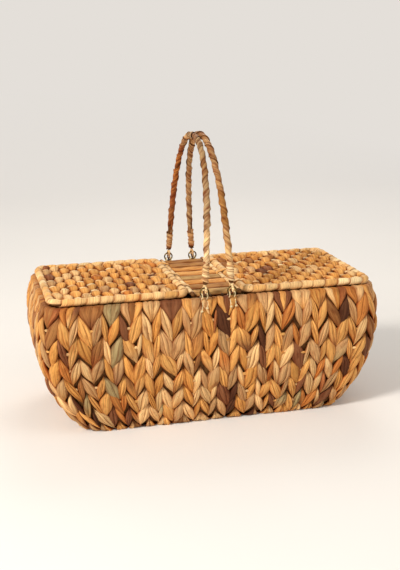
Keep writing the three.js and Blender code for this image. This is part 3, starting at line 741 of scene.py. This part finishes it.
def flat_weave(pile, middle, z, half_x, half_y, corner, pitch, swing, thick, crown):
    """A plain weave of flat strips over a rounded rectangle, for the floor and the undersides."""
    for along_x, half_along, half_across in ((True, half_x, half_y), (False, half_y, half_x)):
        count = round(2 * half_across / pitch)
        start, across = (middle, 0) if along_x else (0, middle)
        for i in range(count):
            place = -half_across + (i + 0.5) * 2 * half_across / count
            reach = rectangle_reach(place, half_across, half_along, corner)
            phase = start + (pitch * (i % 2) + (0 if along_x else pitch))
            strand(
                pile, across + place, start - reach, start + reach, z, swing, 2 * pitch, phase,
                pitch * 0.95, bump_dyes(BODY_DYES, phase, 2 * pitch), along_x, False,
                thick=thick, pinch=0.06, crown=crown, shaded=0.35,
            )


# Wound strips

class Route:
    """A line in one plane, measured along its length, with the plane's normal for its upright."""

    def __init__(self, points, normal, loops=False):
        self.normal = np.array(normal, dtype=float)
        self.points = np.array(points, dtype=float)
        if loops:
            self.points = np.concatenate([self.points, self.points[:1]])
        steps = np.linalg.norm(np.diff(self.points, axis=0), axis=1)
        self.marks = np.concatenate([[0], np.cumsum(steps)])
        self.length = self.marks[-1]
        self.loops = loops

    def at(self, distance):
        """Points, and the directions across the line in its plane."""
        def spot(s):
            s = s % self.length if self.loops else np.clip(s, 0, self.length)
            return np.stack([np.interp(s, self.marks, self.points[:, k]) for k in range(3)], axis=-1)
        reach = 1.5 * MM
        tangent = spot(distance + reach) - spot(distance - reach)
        tangent /= np.linalg.norm(tangent, axis=-1, keepdims=True)
        across = np.cross(tangent, self.normal)
        across /= np.linalg.norm(across, axis=-1, keepdims=True)
        return spot(distance), across


def round_points(route, distance, radius, turn):
    """Points at a radius round the route, turned from the direction across it."""
    distance, radius, turn = np.broadcast_arrays(distance, radius, turn)
    point, across = route.at(distance)
    beside = across * (radius * np.cos(turn))[..., None]
    return point + beside + route.normal * (radius * np.sin(turn))[..., None]


TURN_STEPS = 16
WRAP_FACE = np.array([0.0, 0.02, 0.09, 0.17, 0.25, 0.33, 0.41, 0.5, 0.58, 0.66, 0.75, 0.84, 0.93, 1.0])
WRAP_BACK = np.array([0.9, 0.45, 0.1])
WRAP_RING = np.concatenate([WRAP_FACE, WRAP_BACK])
WRAP_IS_BACK = np.concatenate([np.zeros(len(WRAP_FACE)), np.ones(len(WRAP_BACK))])
CREASES = 2.6


def wind(pile, route, start, end, radius, pitch, shades, raised=0.55 * MM, thick=0.7 * MM, lap=1.3,
         bulge=0.25 * MM, hand=1, upright=0.0, uneven=0.09, crown=0.0, creased=0.0):
    """One ribbon wound round a route, with a shade for each turn, each laid over the turn before.

    upright squares the seams up on the outer and upper side, and the ribbon then advances underneath.
    crown is how far the middle of each turn stands out, and creased how deep its lengthwise creases are.
    """
    turns = max((end - start) / pitch - lap, 0.5)
    angle = np.linspace(0, 2 * math.pi * turns, int(TURN_STEPS * turns) + 1)[:, None]
    number = angle / (2 * math.pi)
    knots = int(turns) + 3

    def drawn(low, high, each):
        marks = np.arange(knots * each) / each
        return np.interp(number, marks, [chance.uniform(low, high) for _ in marks])
    swells = drawn(-1, 1, 2) * bulge
    skew = drawn(-uneven, uneven, 1)
    skew = skew - upright * np.sin(angle - math.pi / 4) / (2 * math.pi)
    share = WRAP_RING
    front = 1 - WRAP_IS_BACK
    laid = lap * pitch * share
    lift = raised * (1 - smooth(share, 0.0, 0.5)) - 0.25 * raised * (share == 0)
    lift = lift - 0.4 * raised * smooth(share, 0.8, 1)
    lift = lift + crown * np.sin(math.pi * np.minimum(share * lap, 1)) * front
    crease = np.sin(2 * math.pi * CREASES * share + drawn(0, 4, 2)) * front
    lift = lift + creased * crease
    spread = radius + swells + lift - thick * WRAP_IS_BACK
    grid = round_points(route, start + pitch * (number + skew) + laid, spread, hand * angle)
    whole = np.floor(number).astype(int)
    blend = smooth(number - whole, 0.8, 1.0)[..., None]
    tints = np.array([shades[k % len(shades)] for k in range(knots + 1)])
    tint = tints[whole] * (1 - blend) + tints[whole + 1] * blend
    # Painted shade where the next turn lies over the ribbon, at its first edge, on its back and in its
    # creases
    covered = 1 - 1 / lap
    painted_seam_shade = 0.8 * smooth(share, 1 - covered - 0.12, 1 - covered + 0.04)
    depth = np.maximum(np.maximum(painted_seam_shade, 0.3 * (share < 0.03)), WRAP_IS_BACK)
    depth = np.maximum(depth, 0.5 * (creased > 0) * smooth(-crease, 0.3, 1.0))[..., None]
    climb = pitch / (2 * math.pi)
    slant = math.hypot(radius, climb)
    grain = together(laid * radius / slant, angle * slant + laid * climb / slant)
    pile.add(grid, deepen(tint, depth), grain)


def shades_along(count, dyes, steady):
    """Shades for one turn after another, of which steady is the share that keeps the last one."""
    shades = [pick(dyes)]
    for _ in range(count - 1):
        fresh = pick(dyes)
        kept = chance.uniform(steady - 0.15, min(steady + 0.15, 1))
        shades.append((shades[-1] * kept + fresh * (1 - kept)) * chance.uniform(0.94, 1.06))
    return shades


def tube(pile, route, start, end, radius, dye, sides=12, step=3 * MM, loops=False):
    """A plain round core along a route."""
    s = np.linspace(start, end, max(int((end - start) / step), 6), endpoint=not loops)[:, None]
    turn = full_turn(sides)
    pile.add(round_points(route, s, radius, turn), dye, together(radius * turn, s), loops)


def lid_route(turned):
    """The middle line of a lid's bar, all round."""
    sign = -1 if turned else 1
    half_x = (LID_OUTER - LID_INNER) / 2
    middle = (LID_OUTER + LID_INNER) / 2
    points = []
    for quarter in range(4):
        sign_x = 1 if quarter in (0, 3) else -1
        sign_y = 1 if quarter < 2 else -1
        for i in range(13):
            turn = (quarter + i / 12) * math.pi / 2
            x = middle + sign_x * (half_x - BAR_CORNER) + BAR_CORNER * math.cos(turn)
            y = sign_y * (LID_SIDE - BAR_CORNER) + BAR_CORNER * math.sin(turn)
            points.append((sign * x, sign * y, BAR_HEIGHT))
    return Route(points, (0, 0, 1), loops=True)


def lid_bar(pile, turned):
    """The wrapped bar round a lid: a core and one long ribbon."""
    route = lid_route(turned)
    tube(pile, route, 0, route.length, BAR_RADIUS - 0.9 * MM, BROWN * 0.5, loops=True)
    pitch = route.length / BAR_TURNS
    wind(
        pile, route, 0, route.length + 0.9 * pitch, BAR_RADIUS - 0.5 * MM, pitch,
        shades_along(BAR_TURNS + 2, BAR_DYES, 0.2), raised=0.5 * MM, thick=0.8 * MM, bulge=0.45 * MM,
        upright=0.85, uneven=0.12, lap=1.36, crown=1.0 * MM,
    )


def panel_rod(pile, x):
    """A pale wrapped rod at the side of the middle panel."""
    route = Route(together(x, np.linspace(-PANEL_SIDE, PANEL_SIDE, 60), ROD_HEIGHT), (0, 0, 1))
    tube(pile, route, 0, route.length, ROD_RADIUS - 0.5 * MM, BROWN * 0.5)
    wind(
        pile, route, 0.2 * MM, route.length - 0.2 * MM, ROD_RADIUS, ROD_PITCH,
        shades_along(12, ROD_DYES, 0.3), raised=0.35 * MM, thick=0.5 * MM, bulge=0.15 * MM,
    )


def handle_route(sign):
    """The middle line of a handle: a broad arch that leans in from its feet."""
    turn = np.linspace(0, math.pi, 400)
    flat = np.cos(turn)
    y = -FOOT_SIDE * np.abs(flat) ** (2 / HANDLE_POWER) * np.sign(flat)
    z = HANDLE_RISE * np.sin(turn) ** (2 / HANDLE_POWER)
    x = sign * (FOOT_OFFSET - z * math.sin(LEAN))
    points = together(x, y, PIVOT_HEIGHT + z * math.cos(LEAN))
    return Route(points, (math.cos(LEAN), 0, sign * math.sin(LEAN)))


def handle_shades(side):
    """Shades of a handle's strip from its front foot to its back foot, each leg with its own tone."""
    front = GREY_DYES if side == "left" else GOLD_DYES
    back = RED_DYES if side == "left" else GREY_DYES
    crown = [pick(CROWN_DYES) for _ in range(2)]
    legs = HANDLE_TURNS // 2 - 3
    low_front = shades_along(2, FRONT_FOOT_DYES, 0.3)
    low_back = shades_along(2, FOOT_DYES, 0.3)
    front_leg = shades_along(legs, front, 0.4)
    back_leg = shades_along(legs, back, 0.4)
    return [0.88 * shade for shade in low_front + front_leg + crown + back_leg + low_back]


def handle(side, sign):
    """A handle's core, its long wound ribbon and the lumpy bindings at its feet."""
    route = handle_route(sign)
    body = f"{side}_handle"
    start = 2 * EYE_RADIUS + 2.4 * MM
    end = route.length - start
    wrap = Pile()
    tube(wrap, route, start, end, HANDLE_RADIUS - 1.7 * MM, BROWN * 0.4)
    bare = BINDING_LENGTH - UNDER_BINDING
    wind(
        wrap, route, start + bare, end - bare, HANDLE_RADIUS - 1.0 * MM, HANDLE_PITCH,
        handle_shades(side), raised=0.9 * MM, thick=0.6 * MM, bulge=0.4 * MM, hand=sign, uneven=0.15,
        creased=0.42 * MM,
    )
    wrap.build(f"{body}_wound_strip", body, "handle", "brown_wrap", f"{body}_wrap")
    for name, foot in (("front", start), ("back", end - BINDING_LENGTH)):
        binding = Pile()
        wind(
            binding, route, foot, foot + BINDING_LENGTH, HANDLE_RADIUS - 0.6 * MM, BINDING_PITCH,
            shades_along(8, FRONT_FOOT_DYES if name == "front" else FOOT_DYES, 0.3), raised=0.8 * MM,
            thick=0.8 * MM, bulge=0.7 * MM, uneven=0.25, creased=0.15 * MM,
        )
        binding.build(f"{body}_foot_{name}", body, "handle", "pale_wrap", f"{body}_binding_{name}")
    for name, face in (("front", -1), ("back", 1)):
        eye = Pile()
        handle_eye(eye, sign, face, TWINE_DYES if name == "front" else FOOT_DYES)
        eye.build(f"{body}_eye_{name}", body, "wrap", "frame_wire", f"{body}_core")


# Rings, eyes, ties and hinge bands

BAND_STEPS = 96
BAND_FACE = np.array([-1, -0.7, 0, 0.7, 1, 0.7, 0, -0.7])
BAND_OUT = np.array([0.25, 0.9, 1, 0.9, 0.25, 0, 0, 0])


def loop_route(centre, first, second, radius):
    """A circle round a centre in the plane of two directions."""
    turn = full_turn(48)[:, None]
    first, second = np.array(first), np.array(second)
    points = np.array(centre) + radius * (np.cos(turn) * first + np.sin(turn) * second)
    return Route(points, np.cross(first, second), loops=True)


def band_line(near, near_radius, far, far_radius):
    """Directions all round, and in each the point of a band that is drawn tight round two circles."""
    turn = full_turn(BAND_STEPS)
    out = together(np.cos(turn), np.sin(turn))
    near, far = np.array(near), np.array(far)
    on_near = (out @ near + near_radius > out @ far + far_radius)[:, None]
    return out, np.where(on_near, near + near_radius * out, far + far_radius * out)


def handle_eye(pile, sign, face, dyes):
    """The wire eye at a foot, wound with thread but for its lowest part."""
    up = np.array((-sign * math.sin(LEAN), 0, math.cos(LEAN)))
    foot = np.array((sign * FOOT_OFFSET, face * FOOT_SIDE, PIVOT_HEIGHT))
    route = loop_route(foot + EYE_RADIUS * up, -up, (0, 1, 0), EYE_RADIUS)
    tube(pile, route, 0, route.length, EYE_WIRE, DARK, step=1.4 * MM, loops=True)
    wind(
        pile, route, 0.16 * route.length, 0.84 * route.length, EYE_WIRE + 0.2 * MM, 2.6 * MM,
        shades_along(16, dyes, 0.3), raised=0.4 * MM, thick=0.4 * MM, bulge=0.3 * MM,
    )


def ring_tie(pile, x, face):
    """A thread loop round the rim's wire and the bottom of a ring."""
    dip = math.sqrt(RING_RADIUS ** 2 - TIE_OFFSET ** 2)
    slope = TIE_OFFSET / dip
    over_rim = RIM_WIRE + TIE_GAP + TIE_RADIUS
    over_ring = RING_WIRE * math.hypot(1, slope) + TIE_RADIUS * slope + TIE_GAP + TIE_RADIUS
    rim = (face * RIM_WIRE_SIDE, RIM_WIRE_HEIGHT)
    ring = (face * FOOT_SIDE, RING_HEIGHT - dip)
    _, line = band_line(rim, over_rim, ring, over_ring)
    route = Route(np.column_stack([np.full(len(line), x), line]), (1, 0, 0), loops=True)
    tube(pile, route, 0, route.length, TIE_RADIUS, pick(TWINE_DYES), step=1.2 * MM, loops=True)


def thread_tail(pile, x, face, drop, drift):
    """A thread from under a ring down the outside of the wall to a small knot."""
    u = x if face < 0 else 2 * RIM_QUARTER - x
    share = np.linspace(0, 1, 14)
    h = BODY_HEIGHT - 4 * MM - drop * share
    lift = (2.6 + 1.6 * np.sin(math.pi * share)) * MM
    route = Route(wall(u + drift * share ** 2, h, lift), (1, 0, 0))
    tube(pile, route, 0, route.length, 0.5 * MM, CREAM, sides=8, step=1.2 * MM)
    twine_bit(pile, u + drift, h[-1], 3.6 * MM, 2.8 * MM, 3.2 * MM, CREAM)


def ring_and_ties(side, sign, name, face):
    """A wire ring on the rim, the threads that tie it down and their loose ends."""
    x = sign * FOOT_OFFSET
    route = loop_route((x, face * FOOT_SIDE, RING_HEIGHT), (1, 0, 0), (0, 0, 1), RING_RADIUS)
    ring = Pile()
    tube(ring, route, 0, route.length, RING_WIRE, DARK, step=1.2 * MM, loops=True)
    ring.build(f"ring_{name}_{side}", "basket", "brass", "ring_wire", f"handle_ring_{name}_{side}")
    for place, away in (("outer", sign), ("inner", -sign)):
        tie = Pile()
        ring_tie(tie, x + away * TIE_OFFSET, face)
        tie.build(f"thread_{name}_{side}_{place}", "basket", "twine", "twine",
                  f"ring_tie_{name}_{side}_{place}")
    tails = Pile()
    thread_tail(tails, x - 3 * MM, face, chance.uniform(9, 13) * MM, wobble(2))
    thread_tail(tails, x + 4 * MM, face, chance.uniform(6, 10) * MM, wobble(3))
    tails.build(f"thread_tails_{name}_{side}", "basket", "twine", "twine")


def hinge_band(pile, node, turned):
    """A strip round the panel's rod and the lid's inner bar, which turns on the rod."""
    low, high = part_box(node)
    sign = -1 if turned else 1
    near_x, far_x = (-high[0], -low[0]) if turned else (low[0], high[0])
    thick = far_x - LID_INNER - BAR_RADIUS - 0.3 * MM
    out, line = band_line(
        (ROD_OFFSET, ROD_HEIGHT), ROD_OFFSET - near_x - thick,
        (LID_INNER, BAR_HEIGHT), BAR_RADIUS + 0.3 * MM,
    )
    ring = line[:, None] + thick * BAND_OUT[:, None] * out[:, None]
    y = (low[1] + high[1]) / 2 + (high[1] - low[1]) / 2 * BAND_FACE
    grain = together(BAND_FACE * (high[1] - low[1]) / 2, full_turn(BAND_STEPS)[:, None] * 8 * MM)
    # Painted shade on the inner side of the band, where it lies against the rod and the bar
    tint = deepen(pick(BAR_DYES), 0.8 * (1 - BAND_OUT)[:, None] ** 2)
    pile.add(together(sign * ring[..., 0], y, ring[..., 1]), tint, grain, loops=True)


# Middle panel

def slat(pile, low_y, high_y, dye, folds):
    """A flat strip across the panel with wavy edges. folds bends its front or back edge down."""
    half = ROD_OFFSET - ROD_RADIUS - 0.4 * MM
    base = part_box("panel_slat_1")[1][2] - 1.3 * MM
    x = np.linspace(-half, half, 24)[:, None]
    middle = (low_y + high_y) / 2
    width = high_y - low_y

    def uneven(size, knots):
        return np.interp(x, np.linspace(-half, half, knots), [wobble(size) for _ in range(knots)])
    wave = uneven(1.1, 6)
    sag = uneven(0.35, 5)
    place = width / 2 * RING
    y = middle + wave * np.abs(RING) + place
    crown = 1.4 * MM * ROUND - 0.5 * MM * AT_EDGE
    z = base + sag + np.where(IS_BACK, -1.0 * MM, crown)
    if folds:
        past = np.maximum(folds * place - (width / 2 - 5 * MM), 0)
        y = y - folds * past * 0.35
        z = z - past * 0.75
    # Painted shade towards the slat's edges and on its back
    pile.add(together(x, y, z), deepen(dye, EDGE_PAINTED_SHADE), together(place, x))


def middle_panel():
    """The slats and rods of the fixed panel between the lids."""
    slats = Pile()
    pitch = 2 * PANEL_SIDE / SLATS
    for i in range(SLATS):
        low = -PANEL_SIDE + i * pitch
        folds = {0: -1, SLATS - 1: 1}.get(i, 0)
        slat(slats, low + 0.1 * MM, low + pitch - 0.5 * MM, REED if i == 0 else pick(SLAT_DYES), folds)
    nodes = [f"panel_slat_{i + 1}" for i in range(SLATS)]
    slats.build("panel_slats", "basket", "slat", "flat_slat", *nodes)
    for side, x in (("left", -ROD_OFFSET), ("right", ROD_OFFSET)):
        rod = Pile()
        panel_rod(rod, x)
        rod.build(f"panel_rod_wound_{side}", "basket", "wrap", "pale_wrap", f"panel_rod_{side}")


# Materials

def new_material(name):
    """A node material with its tree and its shader."""
    material = bpy.data.materials.new(name)
    material.use_nodes = True
    tree = material.node_tree
    return material, tree, tree.nodes["Principled BSDF"]


def plug(tree, node, inputs):
    """Gives each named input of a node its value, or links it to another node's output."""
    for name, value in inputs.items():
        if isinstance(value, bpy.types.NodeSocket):
            tree.links.new(value, node.inputs[name])
        else:
            node.inputs[name].default_value = value


def add_node(tree, kind, inputs, output=0):
    """A new shader node of a kind, with its inputs. Gives back the named or numbered output."""
    node = tree.nodes.new(f"ShaderNode{kind}")
    plug(tree, node, inputs)
    return node.outputs[output]


def stretched_noise(tree, vector, across, along, detail):
    """Noise drawn out along the grain: across and along are how many features fit in a metre."""
    scale = (across, along, across)
    mapped = add_node(tree, "Mapping", {"Vector": vector, "Scale": scale})
    return add_node(tree, "TexNoise", {"Vector": mapped, "Scale": 1.0, "Detail": detail}, "Fac")


def ranged(tree, value, low, high, to_low, to_high):
    """A value taken from one range to another."""
    return add_node(tree, "MapRange", {
        "Value": value, "From Min": low, "From Max": high, "To Min": to_low, "To Max": to_high,
    })


def calculated(tree, operation, first, second):
    """A sum, a product or the greater of two values."""
    node = tree.nodes.new("ShaderNodeMath")
    node.operation = operation
    plug(tree, node, {0: first, 1: second})
    return node.outputs["Value"]


def browned(tree, tint, amount):
    """A colour taken towards the deep brown of streaks and stains by an amount from 0 to 1."""
    mix = tree.nodes.new("ShaderNodeMix")
    mix.data_type = "RGBA"
    mix.blend_type = "MULTIPLY"
    first, second = [socket for socket in mix.inputs if socket.type == "RGBA"]
    second.default_value = (*SHADE_AND_STAIN_BROWN, 1)
    tree.links.new(amount, mix.inputs["Factor"])
    tree.links.new(tint, first)
    return [socket for socket in mix.outputs if socket.type == "RGBA"][0]


def bumped(tree, height, strength, distance):
    """A bump from a height."""
    return add_node(tree, "Bump", {"Strength": strength, "Distance": distance, "Height": height})


def mottled(tree, scale, detail, dark, base, ends=(0.0, 1.0)):
    """A colour between two, mottled from the place in space, with the mottle and that place."""
    place = tree.nodes.new("ShaderNodeTexCoord").outputs["Object"]
    mottle = stretched_noise(tree, place, scale, scale, detail)
    ramp = tree.nodes.new("ShaderNodeValToRGB")
    for element, position, tint in zip(ramp.color_ramp.elements, ends, (dark, base)):
        element.position = position
        element.color = (*tint, 1)
    plug(tree, ramp, {"Fac": mottle})
    return ramp.outputs["Color"], mottle, place


def straw_material(name, roughness, relief, streaking, staining, gloss=0.17):
    """Dried leaf: the dye of each strip with its painted shade, fine fibres along it, dark streaks,
    stains and a soft gloss.
    """
    material, tree, shader = new_material(name)
    dye = tree.nodes.new("ShaderNodeAttribute")
    dye.attribute_name = "ToneAndPaintedShade"
    flat = tree.nodes.new("ShaderNodeUVMap")
    flat.uv_map = "Grain"
    grain = flat.outputs["UV"]
    fibres = stretched_noise(tree, grain, 900.0, 40.0, 4.0)
    streaks = stretched_noise(tree, grain, 340.0, 24.0, 3.0)
    stains = stretched_noise(tree, grain, 130.0, 55.0, 3.0)
    specks = stretched_noise(tree, grain, 420.0, 170.0, 2.0)
    fine = ranged(tree, fibres, 0.3, 0.7, 0.7, 1.32)
    broad = ranged(tree, streaks, 0.3, 0.52, streaking, 0.0)
    patches = ranged(tree, stains, 0.52, 0.7, 0.0, staining)
    spots = ranged(tree, specks, 0.66, 0.74, 1.0, 0.55)
    scaled = tree.nodes.new("ShaderNodeVectorMath")
    scaled.operation = "SCALE"
    plug(tree, scaled, {0: dye.outputs["Color"], "Scale": calculated(tree, "MULTIPLY", fine, spots)})
    tint = scaled.outputs["Vector"]
    height = calculated(tree, "ADD", fibres, calculated(tree, "MULTIPLY", streaks, 1.6))
    plug(tree, shader, {
        "Base Color": browned(tree, tint, calculated(tree, "MAXIMUM", broad, patches)),
        "Roughness": ranged(tree, streaks, 0.3, 0.7, roughness + 0.12, roughness - 0.1),
        "Specular IOR Level": gloss,
        "Specular Tint": (1.0, 0.84, 0.62, 1),
        "Normal": bumped(tree, height, relief, 0.6 * MM),
    })
    return material


def object_material(name, base, dark, metal, roughness, scale):
    """A finish for wires, rings and threads, mottled from its place in space."""
    material, tree, shader = new_material(name)
    tint, mottle, _ = mottled(tree, scale, 3.0, colour(dark), colour(base), (0.35, 0.62))
    plug(tree, shader, {
        "Base Color": tint,
        "Metallic": metal,
        "Roughness": ranged(tree, mottle, 0.3, 0.7, roughness + 0.15, roughness - 0.1),
        "Normal": bumped(tree, mottle, 0.4, 0.2 * MM),
    })
    return material


# A straw has its roughness, relief, streaking, staining and gloss, and the others have their base
# and dark colour, metal, roughness and scale
MATERIALS = {
    "straw": straw_material("woven_straw", 0.55, 0.7, 0.58, 0.6),
    "wrap": straw_material("wound_straw", 0.5, 0.5, 0.3, 0.35),
    "slat": straw_material("flat_slat", 0.65, 0.8, 0.8, 0.6, 0.12),
    "handle": straw_material("handle_straw", 0.58, 0.9, 0.95, 0.8, 0.14),
    "lid": straw_material("lid_straw", 0.62, 0.7, 0.6, 0.5, 0.07),
    "frame": object_material("frame_wire", "6a5138", "33241a", 0.75, 0.5, 300.0),
    "brass": object_material("brass_wire", "7d6535", "3c2f18", 0.9, 0.38, 400.0),
    "twine": object_material("twine", "f0dfb4", "cdb27c", 0.0, 0.8, 900.0),
}


# The basket

def build_weave(pile, name):
    """Makes one piece of the body's weave."""
    pile.build(f"body_{name}", "basket", "straw", "woven_straw", "woven_body")


def woven_body():
    """The body: leaves outside and inside, fans over the rim, floor, a dark core as painted shade and
    underside.
    """
    outside = {side: Pile() for side in SIDES}
    weave_wall(outside)
    twine_bits(outside)
    rim_fans(outside)
    for side, pile in outside.items():
        build_weave(pile, f"weave_{side}")
    inside = {side: Pile() for side in SIDES}
    weave_inside(inside)
    for side, pile in inside.items():
        build_weave(pile, f"weave_inside_{side}")
    floor = Pile()
    half_length, half_width, corner = body_size(FLOOR)
    flat_weave(floor, 0, FLOOR - 2.2 * MM, half_length - WALL + 1 * MM, half_width - WALL + 1 * MM,
               corner - WALL, FLOOR_PITCH, swing=0.5 * MM, thick=1.0 * MM, crown=0.9 * MM)
    build_weave(floor, "weave_floor")
    core = Pile()
    core_shell(core)
    build_weave(core, "core")
    under = Pile()
    half_length, half_width, _ = body_size(0.0)
    flat_weave(under, 0, 1.9 * MM, half_length - 20 * MM, half_width - 20 * MM, 14 * MM, FLOOR_PITCH,
               swing=0.3 * MM, thick=1.0 * MM, crown=0.5 * MM)
    build_weave(under, "weave_under")


def lid(side, turned):
    """A lid: the wrapped bar, the bands that hold it to the rod and the weave that fills it."""
    body = f"{side}_lid"
    bar = Pile()
    lid_bar(bar, turned)
    bar.build(f"{body}_bar_wound", body, "wrap", "pale_wrap", f"{body}_frame")
    for number in (1, 2, 3):
        node = f"{body}_hinge_{number}"
        band = Pile()
        hinge_band(band, node, turned)
        band.build(f"{body}_band_{number}", body, "wrap", "brown_wrap", node)
    weave = Pile()
    lid_core(weave, turned)
    lid_weave(weave, turned)
    weave.build(f"{body}_woven", body, "lid", "woven_straw", f"{body}_weave")


woven_body()
middle_panel()
lid("left", True)
lid("right", False)
handle("left", -1)
handle("right", 1)
for basket_side, way in (("left", -1), ("right", 1)):
    ring_and_ties(basket_side, way, "front", -1)
    ring_and_ties(basket_side, way, "back", 1)
for node_name, node_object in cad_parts.items():
    if node_name not in REPLACED:
        node_object.data.materials.clear()
        node_object.data.materials.append(MATERIALS["frame"])


# Camera, floor and light

CAMERA_PLACE = Vector((-0.32897, -1.30064, 0.52541))
CAMERA_TURN = math.radians(14.314)
CAMERA_DROP = math.radians(14.864)
CAMERA_ROLL = math.radians(-0.547)
CAMERA_LENS = 60.78
LAMP_AIM = Vector((0, 0, 0.12))
FLOOR_GAP = 0.2 * MM
STAGE_HALF = 4.0
STAGE_NEAR = -3.0
STAGE_FAR = 1.8
STAGE_BEND = 1.2
STAGE_TOP = 4.0


def add_camera():
    """The photograph's view of the basket."""
    data = bpy.data.cameras.new("camera")
    data.lens = CAMERA_LENS
    data.clip_start = 0.01
    camera = new_object("camera", data)
    turn = Matrix.Rotation(-CAMERA_TURN, 4, "Z") @ Matrix.Rotation(math.pi / 2 - CAMERA_DROP, 4, "X")
    camera.matrix_world = Matrix.Translation(CAMERA_PLACE) @ turn @ Matrix.Rotation(CAMERA_ROLL, 4, "Z")
    bpy.context.scene.camera = camera


def add_lamp(name, place, size, power, tint):
    """A soft square lamp that looks at the basket."""
    data = bpy.data.lights.new(name, "AREA")
    data.energy = power
    data.size = size
    data.color = tint
    lamp = new_object(name, data)
    lamp.location = place
    aim = LAMP_AIM - Vector(place)
    lamp.rotation_euler = aim.to_track_quat("-Z", "Y").to_euler()


def seen_directly(tree):
    """1 for a ray from the camera or by way of metal or glass, and 0 for light that falls on things."""
    path = tree.nodes.new("ShaderNodeLightPath").outputs
    seen = calculated(tree, "MAXIMUM", path["Is Camera Ray"], path["Is Glossy Ray"])
    return calculated(tree, "MAXIMUM", seen, path["Is Transmission Ray"])


def blend_shaders(tree, amount, first, second, end):
    """Mixes two shaders by an amount into the node that ends the tree."""
    joined = add_node(tree, "MixShader", {"Fac": amount, 1: first, 2: second})
    plug(tree, tree.nodes[end], {"Surface": joined})


def plain_stage_material(name, tint):
    """A plain matt finish with a trace of mottling, which takes the sky's pale colour far out."""
    material, tree, shader = new_material(name)
    mottling, _, place = mottled(tree, 3.0, 2.0, tint * 0.97, tint)
    plug(tree, shader, {"Base Color": mottling, "Roughness": 0.9})
    distance = tree.nodes.new("ShaderNodeVectorMath")
    distance.operation = "LENGTH"
    plug(tree, distance, {0: place})
    far = ranged(tree, distance.outputs["Value"], 0.6, 2.6, 0.0, 1.0)
    glow = add_node(tree, "Emission", {"Color": (*PALE_SKY, 1)})
    amount = calculated(tree, "MULTIPLY", far, seen_directly(tree))
    blend_shaders(tree, amount, shader.outputs["BSDF"], glow, "Material Output")
    return material


def add_stage():
    """A floor that curves up into a backdrop behind the basket."""
    side_view = [(STAGE_NEAR, 0.0), (STAGE_FAR, 0.0)]
    for angle in np.linspace(0.15, math.pi / 2, 12):
        rise = STAGE_BEND * (1 - math.cos(angle))
        side_view.append((STAGE_FAR + STAGE_BEND * math.sin(angle), rise))
    side_view.append((STAGE_FAR + STAGE_BEND, STAGE_TOP))
    vertices = [(x, y, z - FLOOR_GAP) for y, z in side_view for x in (-STAGE_HALF, STAGE_HALF)]
    faces = [(2 * i, 2 * i + 1, 2 * i + 3, 2 * i + 2) for i in range(len(side_view) - 1)]
    material = plain_stage_material("stage", colour("efebe6"))
    stage = new_object("stage", new_mesh("stage", vertices, faces, material))


def add_light():
    """Soft light from the upper left and front, a weak fill and an even sky."""
    add_lamp("key", (-1.9, -1.2, 1.85), size=0.6, power=71, tint=(1.0, 0.96, 0.9))
    add_lamp("fill", (1.8, -1.4, 1.4), size=1.6, power=15, tint=(1.0, 0.98, 0.95))
    add_lamp("back", (0.6, 1.6, 1.7), size=1.2, power=14, tint=(1.0, 0.98, 0.94))
    world = bpy.data.worlds.new("world")
    world.use_nodes = True
    tree = world.node_tree
    sky = tree.nodes["Background"]
    plug(tree, sky, {"Color": (1.0, 0.98, 0.95, 1), "Strength": 0.38})
    pale = add_node(tree, "Background", {"Color": (*PALE_SKY, 1)})
    blend_shaders(tree, seen_directly(tree), sky.outputs["Background"], pale, "World Output")
    bpy.context.scene.world = world
    bpy.context.scene.view_settings.view_transform = "Standard"


add_camera()
add_stage()
add_light()
